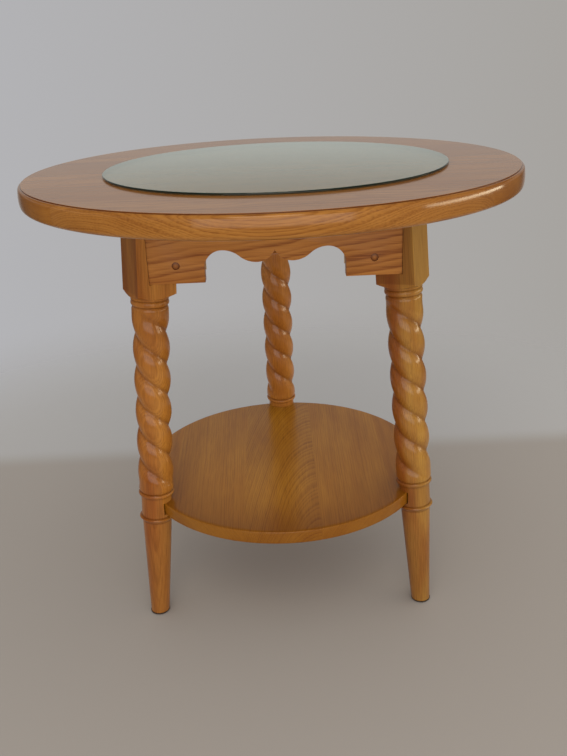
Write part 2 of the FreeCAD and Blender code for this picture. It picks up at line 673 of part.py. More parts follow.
# Corner blocks: glued and screwed between two aprons, against the inner face of a leg block.
def make_corner_blocks():
    """the three corner blocks, fitted to the leaning leg blocks and bored for all their screws"""
    screw_holes = []
    for index, frame in enumerate(apron_screw_frames("apron_thickness")):
        hole = add("Part::Cylinder", f"corner_hole_{index + 1}", {
            "Radius": "screw_radius + hole_clearance",
            "Height": "apron_screw_length + plug_hole_depth - apron_thickness + hole_bottom_gap",
        })
        hole.Placement = frame
        screw_holes.append(hole)
    for index, place in enumerate(top_screw_places()):
        hole = stepped_pin(f"top_screw_hole_{index + 1}", [
            ("top_screw_bore_radius", "top_screw_seat - corner_bottom + cut_overrun"),
            ("screw_radius + hole_clearance", "top_underside - corner_bottom + 2 * cut_overrun"),
        ])
        foot = value("corner_bottom - cut_overrun")
        hole.Placement = FreeCAD.Placement(Vector(place.x, place.y, foot), NO_TURN)
        screw_holes.append(hole)
    holes = group("corner_holes", screw_holes + lag_holes())
    blocks = []
    for name, azimuth in LEG_AZIMUTHS.items():
        body = new_body(f"corner_{name}_blank")
        sketch = new_sketch(body, f"corner_{name}_outline", "XY_Plane", "corner_bottom")
        outer = "corner_inner + block_side"
        inner_half = f"(apron_back - corner_inner * cos({CORNER_ANGLE})) / sin({CORNER_ANGLE})"
        outer_half = f"(apron_back - ({outer}) * cos({CORNER_ANGLE})) / sin({CORNER_ANGLE})"
        draw_outline(sketch, [
            ("corner_inner", f"-{inner_half}"),
            (outer, f"-{outer_half}"),
            (outer, outer_half),
            ("corner_inner", inner_half),
        ])
        pad(body, sketch, "top_underside - corner_bottom")
        body.Placement = turned_about_middle(azimuth)
        block = add("Part::Box", f"corner_{name}_seat", {
            "Length": "2 * block_side",
            "Width": "2 * block_side",
            "Height": "leg_length + cut_overrun",
        })
        corner = Vector(-value("block_side / 2"), -value("block_side"), 0)
        block.Placement = leg_frame(azimuth).multiply(FreeCAD.Placement(corner, NO_TURN))
        fitted = add("Part::Cut", f"corner_{name}_fitted", Base=body, Tool=block)
        blocks.append(add("Part::Cut", f"corner_block_{name}", Base=fitted, Tool=holes))
    return blocks


# Fasteners, plugs and glides: like pieces share a node.
def make_fasteners():
    """screws, washers, plugs and glides"""
    plugs, apron_screws, top_screws, lags, washers, glides = [], [], [], [], [], []
    for index, frame in enumerate(apron_screw_frames("plug_recess")):
        plug = add("Part::Cylinder", f"plug_{index + 1}", {
            "Radius": "plug_hole_radius - hole_clearance",
            "Height": "plug_thickness",
        })
        plug.Placement = frame
        plugs.append(plug)
    for index, frame in enumerate(apron_screw_frames("(plug_hole_depth - screw_head_height)")):
        screw = stepped_pin(f"apron_screw_{index + 1}", [
            ("screw_head_radius", "screw_head_height"),
            ("screw_radius", "screw_head_height + apron_screw_length"),
        ])
        screw.Placement = frame
        apron_screws.append(screw)
    for index, place in enumerate(top_screw_places()):
        screw = stepped_pin(f"top_screw_{index + 1}", [
            ("screw_head_radius", "screw_head_height"),
            ("screw_radius", "screw_head_height + top_screw_length"),
        ])
        foot = value("top_screw_seat - screw_head_height")
        screw.Placement = FreeCAD.Placement(Vector(place.x, place.y, foot), NO_TURN)
        top_screws.append(screw)
    for name, azimuth in LEG_AZIMUTHS.items():
        lag = make_lag_screw(name)
        lag.Placement = lag_frame(azimuth, "corner_inner - washer_thickness - lag_head_height")
        lags.append(lag)
        washer = new_body(f"washer_{name}")
        ring = new_sketch(washer, f"washer_{name}_ring", "XY_Plane")
        draw_circles(ring, "washer_radius")
        draw_circles(ring, "lag_radius + hole_clearance")
        pad(washer, ring, "washer_thickness")
        washer.Placement = lag_frame(azimuth, "corner_inner - washer_thickness")
        washers.append(washer)
        glide = make_glide(name)
        glide.Placement = turned_about_middle(azimuth, Vector(value("foot_circle_diameter / 2"), 0, 0))
        glides.append(glide)
    return [
        group("screw_plugs", plugs),
        group("apron_screws", apron_screws),
        group("top_screws", top_screws),
        group("leg_lag_screws", lags),
        group("lag_washers", washers),
        group("foot_glides", glides),
    ]


def make_lag_screw(name):
    """a hexagon-headed lag screw, its head from z = 0 up"""
    body = new_body(f"lag_screw_{name}")
    head = new_sketch(body, f"lag_screw_{name}_head", "XY_Plane")
    corner = f"lag_head_across / 2 / cos({CORNER_ANGLE} / 2)"
    angles = range(0, 360, CORNER_ANGLE)
    draw_outline(head, [(f"{corner} * cos({angle})", f"{corner} * sin({angle})") for angle in angles])
    pad(body, head, "lag_head_height")
    document.recompute()
    shank = new_sketch(body, f"lag_screw_{name}_shank", "XY_Plane", "lag_head_height")
    draw_circles(shank, "lag_radius")
    pad(body, shank, "lag_length")
    return body


def make_glide(name):
    """a nail-on glide: a bevelled disc with its nail"""
    body = new_body(f"glide_{name}")
    section = new_sketch(body, f"glide_{name}_section", "XZ_Plane")
    draw_outline(section, [
        ("0", "0"),
        ("glide_radius - glide_bevel", "0"),
        ("glide_radius", "glide_bevel"),
        ("glide_radius", "glide_height"),
        ("nail_radius", "glide_height"),
        ("nail_radius", "glide_height + nail_length"),
        ("0", "glide_height + nail_length"),
    ])
    revolve(body, section)
    return body


def check_document():
    """stop if any object failed to build"""
    document.recompute()
    for item in document.Objects:
        if "Invalid" in item.State or "Error" in item.State:
            raise RuntimeError(f"{item.Label} failed: {item.State}")


def export_nodes(nodes):
    """write each node's shape to a file of its own"""
    os.makedirs("parts", exist_ok=True)
    for node in nodes:
        shape = node.Shape
        if shape.isNull() or not shape.isValid() or not shape.Solids:
            raise RuntimeError(f"{node.Label} has no valid solid")
        shape.exportStep(f"parts/{node.Label}.step")
        print(f"{node.Label}: {len(shape.Solids)} solid(s), {shape.Volume:.1f} mm3")


nodes = [
    *make_top(),
    *make_glass(),
    *make_shelf(),
    *make_legs(make_leg_cutters()),
    *make_aprons(),
    *make_corner_blocks(),
    *make_fasteners(),
]
check_document()
export_nodes(nodes)
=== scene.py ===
"""Looks of a round occasional table: golden stained ash, barley-twist legs and a loose glass disc."""

import logging
import math
from dataclasses import dataclass
from enum import Enum
from functools import partial
from typing import Callable, Iterable, Sequence

import bmesh
import bpy
from mathutils import Matrix, Vector


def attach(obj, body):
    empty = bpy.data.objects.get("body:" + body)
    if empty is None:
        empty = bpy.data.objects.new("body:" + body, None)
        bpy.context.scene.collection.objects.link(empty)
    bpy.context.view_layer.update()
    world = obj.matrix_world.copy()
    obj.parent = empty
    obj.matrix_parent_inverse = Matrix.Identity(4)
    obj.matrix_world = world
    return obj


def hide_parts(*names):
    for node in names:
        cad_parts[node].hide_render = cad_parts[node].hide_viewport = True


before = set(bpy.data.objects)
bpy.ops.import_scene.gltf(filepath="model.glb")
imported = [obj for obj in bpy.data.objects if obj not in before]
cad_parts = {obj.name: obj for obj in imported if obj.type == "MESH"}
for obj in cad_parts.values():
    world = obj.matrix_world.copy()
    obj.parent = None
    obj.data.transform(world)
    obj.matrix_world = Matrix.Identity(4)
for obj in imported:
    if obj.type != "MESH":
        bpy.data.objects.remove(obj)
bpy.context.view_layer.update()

MM = 0.001
RIGHT, BACK, UP = Vector((1, 0, 0)), Vector((0, 1, 0)), Vector((0, 0, 1))
LOG = logging.getLogger("round_table")

BMesh = bmesh.types.BMesh
Material = bpy.types.Material
Socket = bpy.types.NodeSocket
Thing = bpy.types.Object
Tree = bpy.types.NodeTree
Point2 = tuple[float, float]
Point3 = tuple[float, float, float]
Value = object
Adder = Callable[..., Socket]

# a map range node takes a value, the range that it comes from and the range that it goes to, in order;
# a mix node takes its colours at inputs 6 and 7, the share of the second at input 0, and gives output 2
COLOURS: dict[str, Value] = {"out": 2, "data_type": "RGBA"}


class Place(Enum):
    """A place round the table, as an angle in degrees."""

    @property
    def label(self) -> str:
        """The place in words."""
        return self.name.lower()

    @property
    def swing(self) -> Matrix:
        """The turn round the table that brings a piece there."""
        return Matrix.Rotation(math.radians(self.value), 4, "Z")


class LegPlace(Place):
    """Where a leg stands: the angle of its foot round the table, anticlockwise from +X."""

    FRONT_LEFT = 210
    FRONT_RIGHT = 330
    REAR = 90


class ApronPlace(Place):
    """Where an apron hangs: its turn round the table from the front."""

    FRONT = 0
    RIGHT = 120
    LEFT = 240


class GrainRun(Enum):
    """The way that the boards of a disc run."""

    ALONG_X = "x"
    ALONG_Y = "y"


# Small tools: colour, nodes, meshes


def clamp(share: float) -> float:
    """Hold a share between 0 and 1."""
    return min(max(share, 0), 1)


def srgb(code: str) -> tuple[float, ...]:
    """Turn an sRGB hex colour, such as "#A4661E", to linear red, green, blue and full opacity."""
    channels = [int(code[start:start + 2], 16) / 255 for start in (1, 3, 5)]
    return (*(c / 12.92 if c <= 0.04045 else ((c + 0.055) / 1.055) ** 2.4 for c in channels), 1.0)


def add_node(
    tree: Tree, kind: str, inputs: dict[str | int, Value] | Sequence[Value] = (), out: int | str = 0,
    **settings: Value,
) -> Socket:
    """Add a node with its settings and links.

    Args:
        tree: The node tree that it goes into.
        kind: Blender's name for the node, after "ShaderNode", and after a space its operation.
        inputs: A value, an sRGB hex colour or another node's output, for each input, in order or by name.
        out: Name or number of the output that is wanted.
        settings: Properties of the node.

    Returns:
        That output.
    """
    kind, _, operation = kind.partition(" ")
    node = tree.nodes.new("ShaderNode" + kind)
    if operation:
        node.operation = operation
    for name, setting in settings.items():
        setattr(node, name, setting)
    for name, source in inputs.items() if isinstance(inputs, dict) else enumerate(inputs):
        if isinstance(source, Socket):
            tree.links.new(source, node.inputs[name])
        else:
            node.inputs[name].default_value = srgb(source) if isinstance(source, str) else source
    return node.outputs[out]


def set_stops(ramp: Socket, marks: Sequence[tuple[float, Sequence[float]]]) -> None:
    """Set a colour ramp's stops.

    Args:
        ramp: The ramp's output.
        marks: Place and linear colour of each stop.
    """
    stops = ramp.node.color_ramp.elements
    while len(stops) < len(marks):
        stops.new(0.5)
    for stop, (place, colour) in zip(stops, marks):
        stop.position = place
        stop.color = colour


def fill_tree(owner: Material | bpy.types.World, shader: Callable[[Adder], Socket]) -> None:
    """Give a material or the world its nodes.

    Args:
        owner: The material or the world.
        shader: Adds the nodes, up to the shader.
    """
    owner.use_nodes = True
    tree = owner.node_tree
    tree.nodes.clear()
    kind = "World" if isinstance(owner, bpy.types.World) else "Material"
    tree.links.new(shader(partial(add_node, tree)), tree.nodes.new("ShaderNodeOutput" + kind).inputs["Surface"])


def mesh_object(
    name: str, points: Sequence[Vector], faces: Sequence[Sequence[int]], sharp_degrees: float = 32
) -> Thing:
    """Make an object from points and faces.

    Args:
        name: The object's name.
        points: Points in metres, in the table's frame.
        faces: Point numbers of each face.
        sharp_degrees: Edges that turn by more than this are drawn sharp.

    Returns:
        The new object.
    """
    mesh = bpy.data.meshes.new(name)
    mesh.from_pydata([tuple(point) for point in points], [], faces)
    work = bmesh.new()
    work.from_mesh(mesh)
    bpy.data.meshes.remove(mesh)
    return link_mesh(name, work, sharp_degrees)


def link_mesh(name: str, work: BMesh, sharp_degrees: float = 32) -> Thing:
    """Put a mesh in the scene with outward normals and smooth shading.

    Args:
        name: The object's name.
        work: Its mesh, which is used up.
        sharp_degrees: Edges that turn by more than this are drawn sharp.

    Returns:
        The new object.
    """
    bmesh.ops.remove_doubles(work, verts=work.verts, dist=0.002 * MM)
    bmesh.ops.recalc_face_normals(work, faces=work.faces)
    mesh = bpy.data.meshes.new(name)
    work.to_mesh(mesh)
    work.free()
    shade(mesh, sharp_degrees)
    thing = bpy.data.objects.new(name, mesh)
    bpy.context.scene.collection.objects.link(thing)
    return thing


def shade(mesh: bpy.types.Mesh, sharp_degrees: float) -> None:
    """Shade a mesh smoothly, but for the edges that turn by more than an angle."""
    mesh.polygons.foreach_set("use_smooth", [True] * len(mesh.polygons))
    mesh.set_sharp_from_angle(angle=math.radians(sharp_degrees))


def carve(thing: Thing, cutters: Sequence[Thing], sharp_degrees: float = 30) -> None:
    """Cut solids out of an object for good and remove the cutters.

    Args:
        thing: The object that is cut.
        cutters: Closed meshes that are taken away from it.
        sharp_degrees: Edges that turn by more than this are drawn sharp.
    """
    for cutter in cutters:
        modifier = thing.modifiers.new("cut", "BOOLEAN")
        modifier.operation = "DIFFERENCE"
        modifier.solver = "EXACT"
        modifier.object = cutter
    graph = bpy.context.evaluated_depsgraph_get()
    cut = bpy.data.meshes.new_from_object(thing.evaluated_get(graph))
    thing.modifiers.clear()
    thing.data = cut
    shade(cut, sharp_degrees)
    for cutter in cutters:
        bpy.data.objects.remove(cutter)


def paint_stain_and_shade(thing: Thing, darkness: Callable[[Vector], float]) -> None:
    """Store how dark each vertex is, from extra staining and from painted shade: 0 to 1 for a point in the
    table's frame.
    """
    attribute = thing.data.attributes.new("stain", "FLOAT", "POINT")
    attribute.data.foreach_set("value", [darkness(vertex.co) for vertex in thing.data.vertices])


def arc(start: Point2, end: Point2, radius: float, side: int, steps: int) -> list[Point2]:
    """Points on an arc, from its start up to but not including its end.

    Args:
        start: First point.
        end: Last point.
        radius: The arc's radius.
        side: 1 if the centre is to the left of the way from start to end, and -1 if to the right.
        steps: Number of points.

    Returns:
        The points.
    """
    a, b = Vector(start), Vector(end)
    chord = b - a
    left = Vector((-chord.y, chord.x)).normalized()
    centre = (a + b) / 2 + left * side * math.sqrt(radius ** 2 - chord.length ** 2 / 4)
    first, last = (math.atan2(point.y - centre.y, point.x - centre.x) for point in (a, b))
    if (last - first) * side < 0:
        last += math.tau * side
    angles = [first + (last - first) * step / steps for step in range(steps)]
    return [(centre.x + radius * math.cos(t), centre.y + radius * math.sin(t)) for t in angles]


def rounded_corner(before: Point2, corner: Point2, after: Point2, size: float, steps: int) -> list[Point2]:
    """Points that round a corner.

    Args:
        before: A point that the outline comes from.
        corner: The corner.
        after: A point that the outline goes to.
        size: Distance from the corner at which the rounding starts and ends.
        steps: Number of stretches in the rounding.

    Returns:
        The points, from the side of before to the side of after.
    """
    handle = 0.5523
    middle = Vector(corner)
    start, end = (middle + (Vector(way) - middle).normalized() * size for way in (before, after))
    one, two = start.lerp(middle, handle), end.lerp(middle, handle)
    points = []
    for step in range(steps + 1):
        t = step / steps
        point = start * (1 - t) ** 3 + one * 3 * t * (1 - t) ** 2 + two * 3 * t ** 2 * (1 - t) + end * t ** 3
        points.append((point.x, point.y))
    return points


def turned_solid(
    profile: Sequence[Point2], segments: int, place: Matrix = Matrix(), work: BMesh | None = None
) -> BMesh:
    """Turn a profile about the z axis.

    Args:
        profile: Radius and height in millimetres, from the axis round to the axis.
        segments: Steps round the axis.
        place: Where the solid goes.
        work: A mesh that it is added to, or a new one.

    Returns:
        The mesh, in metres.
    """
    work = work or bmesh.new()
    angles = [math.tau * step / segments for step in range(segments)]
    rings = []
    for radius, height in profile:
        ring = angles if radius > 0.0001 else angles[:1]
        rings.append([
            work.verts.new(place @ Vector((radius * MM * math.cos(a), radius * MM * math.sin(a), height * MM)))
            for a in ring
        ])
    for lower, upper in zip(rings, rings[1:]):
        for step in range(segments):
            after = (step + 1) % segments
            corners = ((lower, step), (lower, after), (upper, after), (upper, step))
            work.faces.new(list(dict.fromkeys(ring[place % len(ring)] for ring, place in corners)))
    return work


def slice_between(work: BMesh, axis: Vector, low: float, high: float) -> BMesh:
    """Keep the part of a closed mesh that lies between two planes, and close its cuts.

    Args:
        work: The whole mesh, which stays as it is.
        axis: Direction from the lower plane to the upper one.
        low: Place of the lower plane, in millimetres.
        high: Place of the upper plane.

    Returns:
        The slice, a new mesh.
    """
    part = work.copy()
    for place, clear_outer in ((low, False), (high, True)):
        geometry = part.verts[:] + part.edges[:] + part.faces[:]
        cut = bmesh.ops.bisect_plane(
            part, geom=geometry, plane_co=axis * place * MM, plane_no=axis,
            clear_outer=clear_outer, clear_inner=not clear_outer,
        )
        rim = [item for item in cut["geom_cut"] if isinstance(item, bmesh.types.BMEdge)]
        if rim:
            bmesh.ops.contextual_create(part, geom=rim)
    return part


# Finishes


@dataclass(frozen=True)
class Finish:
    """What a surface is made of and how it was made."""

    name: str

    def make(self) -> Material:
        """Build the material."""
        material = bpy.data.materials.new(self.name)
        fill_tree(material, self.shader)
        return material

    def shader(self, add: Adder) -> Socket:
        """Lay out the nodes, up to the shader."""
        raise NotImplementedError


@dataclass(frozen=True)
class LogCut:
    """How a piece was sawn from its log: where the pith lies and how the rings run through the piece."""

    pith_mm: Point2
    ring_mm: float
    tilt_degrees: float = 1.2
    swing_degrees: float = 0.0
    wander_mm: float = 4.0
    ripple_mm: float = 0.8


@dataclass(frozen=True)
class Grain:
    """Places in a log in metres, x along the grain and y and z across it, and what adds nodes to them."""

    add: Adder
    log: Socket
    seed: float

    def pattern(self, along_mm: float, across_mm: float, detail: float) -> Socket:
        """Draw soft streaks of a real size.

        Args:
            along_mm: Length of the streaks along the grain.
            across_mm: Their width across it.
            detail: How many finer layers they have.

        Returns:
            The streaks, from 0 to 1.
        """
        scale = Vector((1 / along_mm, 1 / across_mm, 1 / across_mm)) / MM
        shift = Vector((self.seed, -self.seed, self.seed * 0.7))
        place = self.add("VectorMath MULTIPLY_ADD", (self.log, scale, shift))
        return self.add("TexNoise", {"Vector": place, "Scale": 1.0, "Detail": detail})

    def bend(self, size_mm: Point2, reach_mm: float) -> "Grain":
        """Push places in the log sideways, as the living tree's layers wander.

        Args:
            size_mm: Length along the grain and width across it of one swell.
            reach_mm: How far a swell pushes at most.

        Returns:
            The moved places.
        """
        swell = self.pattern(*size_mm, 1.0).node.outputs["Color"]
        centred = self.add("VectorMath SUBTRACT", (swell, Vector((0.5, 0.5, 0.5))))
        push = Vector((0, 1, 1)) * reach_mm * 2 * MM
        moved = self.add("VectorMath MULTIPLY_ADD", (centred, push, self.log))
        return Grain(self.add, moved, self.seed)


@dataclass(frozen=True)
class StainedAsh(Finish):
    """Ash, sanded, stained golden and sprayed with clear gloss lacquer.

    The rings of the log run through the whole piece, so a face shows arches where it cuts them at a
    slant and narrow lines where it cuts them square. The open pores of each spring hold the stain and
    draw the dark lines; the lacquer lies over them as one smooth wet-looking coat.
    """

    along: Vector
    face: Vector
    origin: Vector
    cut: LogCut
    seed: float = 0.0
    pale: str = "#A4661E"
    deep: str = "#8C5014"
    pores: str = "#6A3406"
    # the dark colour for extra staining and for painted shade
    dark_stain_and_shade: str = "#5A2906"
    line_strength: float = 0.6
    fibre_strength: float = 0.12
    coat_weight: float = 0.55
    coat_roughness: float = 0.26
    # painted light: the way in which the wood is painted paler, per millimetre, as if lit more from that side
    painted_light_way: Vector = Vector((0, 0, 0))

    def shader(self, add: Adder) -> Socket:
        """Lay out the wood and the coat over it."""
        place = add("TexCoord", out="Object")
        local = add("VectorMath SUBTRACT", (place, self.origin))
        # the last part measures how far a place lies towards the side that is painted paler as painted light
        *parts, painted_light = (
            add("VectorMath DOT_PRODUCT", (local, axis), "Value")
            for axis in (self.along, self.face.cross(self.along), self.face, self.painted_light_way / MM)
        )
        grain = Grain(add, add("CombineXYZ", dict(enumerate(parts))), self.seed)
        pores, fibre = self.pore_lines(grain)
        relief = add("Bump", {"Strength": 0.2, "Distance": 0.12 * MM, "Height": pores}, invert=True)
        return add("BsdfPrincipled", {
            "Base Color": self.colour(grain, pores, fibre, painted_light),
            "Roughness": 0.5,
            "Specular IOR Level": 0.05,
            "Coat Weight": self.coat_weight,
            "Coat Roughness": self.coat_roughness,
            "Coat IOR": 1.5,
            "Normal": relief,
        })

    def ring_phase(self, grain: Grain) -> tuple[Socket, Socket]:
        """Work out the growth ring at each place.

        Args:
            grain: Places in the log.

        Returns:
            How far through its year the wood is, from 0 to 1, and the number of the year.
        """
        add, cut = grain.add, self.cut
        bent = grain.bend((260, 75), cut.wander_mm).bend((60, 22), cut.ripple_mm).log
        swing, tilt = (math.tan(math.radians(turn)) for turn in (cut.swing_degrees, cut.tilt_degrees))
        reach = []
        for way, offset in zip((Vector((swing, 1, 0)), Vector((tilt, 0, 1))), cut.pith_mm):
            dot = add("VectorMath DOT_PRODUCT", (bent, way), "Value")
            reach.append(add("Math SUBTRACT", (dot, offset * MM)))
        radial = add("CombineXYZ", {1: reach[0], 2: reach[1]})
        radius = add("VectorMath LENGTH", (radial,), "Value")
        years = add("Math DIVIDE", (radius, cut.ring_mm * MM))
        uneven = add("TexNoise", {"W": years, "Scale": 0.55, "Detail": 1.0}, noise_dimensions="1D")
        phase = add("Math MULTIPLY_ADD", (uneven, 1.3, years))
        return add("Math FRACT", (phase,)), add("Math FLOOR", (phase,))

    def pore_lines(self, grain: Grain) -> tuple[Socket, Socket]:
        """Draw the bands of spring pores, some years darker than others, broken into streaks.

        Args:
            grain: Places in the log.

        Returns:
            How much stain the pores hold, and the fine fibres alone.
        """
        add = grain.add
        through, year = self.ring_phase(grain)
        band = add("ValToRGB", {"Fac": through})
        greys = ((0.0, 0.3), (0.08, 1.0), (0.24, 0.85), (0.55, 0.25), (0.85, 0.0), (1.0, 0.3))
        set_stops(band, [(place, (grey, grey, grey, 1)) for place, grey in greys])
        chance = add("TexWhiteNoise", {"W": year}, "Value", noise_dimensions="1D")
        strength = add("MapRange", (chance, 0, 1, 0.45, 1.0))
        # ash pores are about 0.3 mm wide and would not show: they are drawn four times as wide
        fibre = grain.pattern(34, 1.2, 3.0)
        streaks = add("MapRange", (fibre, 0.3, 0.7, 0.5, 1.3))
        drawn = add("Math MULTIPLY", (band, strength))
        return add("Math MULTIPLY", (drawn, streaks), use_clamp=True), fibre

    def colour(self, grain: Grain, pores: Socket, fibre: Socket, painted_light: Socket) -> Socket:
        """Mix the stained wood's colour.

        Args:
            grain: Places in the log.
            pores: How much stain the pores hold.
            fibre: Fine fibres along the grain.
            painted_light: How far towards the side of the piece where painted light falls, which is drawn
                paler.

        Returns:
            The colour.
        """
        add, spread = grain.add, self.fibre_strength
        cloud = grain.pattern(180, 34, 2.0)
        mottled = add("MapRange", (cloud, 0.3, 0.7))
        # painted light: the wood is painted paler towards one side, where more light falls
        patchy = add("Math SUBTRACT", (mottled, painted_light), use_clamp=True)
        ground = add("Mix", {0: patchy, 6: self.pale, 7: self.deep}, **COLOURS)
        drawn = add("Math MULTIPLY", (pores, self.line_strength))
        lined = add("Mix", {0: drawn, 6: ground, 7: self.pores}, **COLOURS)
        tone = add("MapRange", (fibre, 0.25, 0.75, 1 + spread, 1 - spread))
        brushed = add("VectorMath SCALE", {0: lined, "Scale": tone})
        # the vertex darkness holds extra staining and painted shade together, mixed towards one dark colour
        stain = add("Attribute", out="Fac", attribute_name="stain")
        return add("Mix", {0: stain, 6: brushed, 7: self.dark_stain_and_shade}, **COLOURS)


@dataclass(frozen=True)
class Speckled(Finish):
    """A plain surface whose tone wavers between two colours, and its gloss or its grain with it."""

    tones: tuple[str, str]
    specks_per_metre: Point3
    roughness: Point2
    detail: float = 3.0
    metallic: float = 0.0
    relief_mm: float = 0.0

    def shader(self, add: Adder) -> Socket:
        """Lay out the surface."""
        place = add("TexCoord", out="Object")
        specks = add("VectorMath MULTIPLY", (place, self.specks_per_metre))
        noise = add("TexNoise", {"Vector": specks, "Scale": 1.0, "Detail": self.detail})
        low, high = self.roughness
        inputs: dict[str | int, Value] = {
            "Base Color": add("Mix", {0: noise, 6: self.tones[0], 7: self.tones[1]}, **COLOURS),
            "Metallic": self.metallic,
            "Roughness": low,
        }
        if high > low:
            inputs["Roughness"] = add("MapRange", (noise, 0, 1, low, high))
        if self.relief_mm:
            bump = {"Strength": 0.3, "Distance": self.relief_mm * MM, "Height": noise}
            inputs["Normal"] = add("Bump", bump)
        return add("BsdfPrincipled", inputs)


@dataclass(frozen=True)
class PlanedPoplar(Speckled):
    """Planed poplar without finish, for hidden blocks: pale, dry and even."""

    name: str = "planed_poplar"
    tones: tuple[str, str] = ("#CDB083", "#A98A5C")
    specks_per_metre: Point3 = (260, 260, 22)
    roughness: Point2 = (0.75, 0.75)
    relief_mm: float = 0.2


@dataclass(frozen=True)
class ZincPlatedSteel(Speckled):
    """Machined steel with a thin zinc plate: satin, slightly mottled and tinted."""

    specks_per_metre: Point3 = (420, 420, 420)
    roughness: Point2 = (0.25, 0.5)
    metallic: float = 1.0


@dataclass(frozen=True)
class MouldedNylon(Speckled):
    """Dark brown moulded nylon, for glides: a soft sheen with a fine scuffed grain."""

    name: str = "moulded_nylon"
    tones: tuple[str, str] = ("#2A1B12", "#3A281C")
    specks_per_metre: Point3 = (900, 900, 900)
    roughness: Point2 = (0.4, 0.65)
    detail: float = 2.0


@dataclass(frozen=True)
class FloatGlass(Finish):
    """Clear float glass, fire-polished flat: almost clear, and a mirror to the room at a slant.

    The upper face mirrors for both faces. A face mirrors 4.3 % of what meets it square on, and more
    with the slant.
    """

    name: str = "float_glass"
    square_on: float = 0.043

    def shader(self, add: Adder) -> Socket:
        """Lay out the upper face."""
        clear = add("BsdfTransparent", {"Color": "#F6FAF8"})
        mirror = add("BsdfGlossy", {"Color": "#F3FCF9", "Roughness": 0.02})
        facing = add("LayerWeight", {"Blend": 0.5}, "Facing")
        steep = add("Math POWER", (facing, 5.0))
        one = add("Math MULTIPLY_ADD", (steep, 1 - self.square_on, self.square_on))
        twice = add("Math MULTIPLY", (one, 2.0))
        whole = add("Math ADD", (one, 1.0))
        both = add("Math DIVIDE", (twice, whole))
        return add("MixShader", (both, clear, mirror))


@dataclass(frozen=True)
class GlassUnderside(Finish):
    """The lower face of the float glass, which lies on the wood and only tints it."""

    name: str = "float_glass_underside"

    def shader(self, add: Adder) -> Socket:
        """Lay out the tint."""
        place = add("TexCoord", out="Object")
        noise = add("TexNoise", {"Vector": place, "Scale": 12.0, "Detail": 1.0})
        tint = add("Mix", {0: noise, 6: "#FCFEFD", 7: "#F8FCFA"}, **COLOURS)
        return add("BsdfTransparent", {"Color": tint})


@dataclass(frozen=True)
class PolishedGlassEdge(Finish):
    """The ground and polished edge of the float glass.

    It looks down the whole width of the disc, so its upper half shows the iron in the glass as a dark bottle
    green.
    Its lower half is painted with the brown of the wood under it, as a painted view through the glass, and its
    top arris with a paler painted glint.
    """

    low: float
    high: float

    def shader(self, add: Adder) -> Socket:
        """Lay out the edge, between the heights of the faces in metres."""
        place = add("TexCoord", out="Object")
        height = add("SeparateXYZ", (place,), "Z")
        share = add("MapRange", (height, self.low, self.high))
        ramp = add("ValToRGB", {"Fac": share})
        # the brown stops paint the wood under the edge as seen through it, and the pale last stop is a painted
        # glint on the top arris
        tones = ((0.0, "#3A2C18"), (0.25, "#4A3E28"), (0.45, "#2C2A1E"), (0.6, "#0A1612"), (0.85, "#0E1E18"),
                 (1.0, "#46584E"))
        set_stops(ramp, [(place, srgb(tone)) for place, tone in tones])
        return add("BsdfPrincipled", {"Base Color": ramp, "Roughness": 0.06, "IOR": 1.52})


@dataclass(frozen=True)
class PlainFloor(Finish):
    """A matt floor covering that turns to the paler tone of the backdrop and then ends in it."""

    name: str = "plain_floor"
    near: str = "#A29B94"
    far: str = "#B1AFAD"
    turn: Point2 = (0.36, 0.44)
    fade: Point2 = (0.75, 1.5)

    def shader(self, add: Adder) -> Socket:
        """Lay out the floor."""
        place = add("TexCoord", out="Object")
        back = add("SeparateXYZ", (place,), "Y")
        away = add("VectorMath LENGTH", (place,), "Value")
        turned, gone = (
            add("MapRange", (value, low, high), interpolation_type="SMOOTHSTEP")
            for value, (low, high) in ((back, self.turn), (away, self.fade))
        )
        colour = add("Mix", {0: turned, 6: self.near, 7: self.far}, **COLOURS)
        matt = add("BsdfPrincipled", {"Base Color": colour, "Roughness": 0.9, "Specular IOR Level": 0.1})
        return add("MixShader", (gone, matt, add("BsdfTransparent")))


def dress(thing: Thing, finishes: Sequence[Finish], body: str, node: str) -> None:
    """Give a piece its finish and tie it to the table.

    Args:
        thing: The piece.
        finishes: Its finishes.
        body: The moving body that it rides on.
        node: The solid that it stands for.
    """
    thing.data.materials.clear()
    for finish in finishes:
        thing.data.materials.append(finish.make())
    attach(thing, body)
    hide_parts(node)
    LOG.info("%s stands for %s", thing.name, node)


def coat_nodes(finish: Finish, nodes: Iterable[str]) -> None:
    """Give solids that stay as they are a better material."""
    material = finish.make()
    for node in nodes:
        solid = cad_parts[node]
        solid.data.materials.clear()
        solid.data.materials.append(material)
        LOG.info("%s keeps its solid, in %s", node, material.name)


# Sub-assemblies


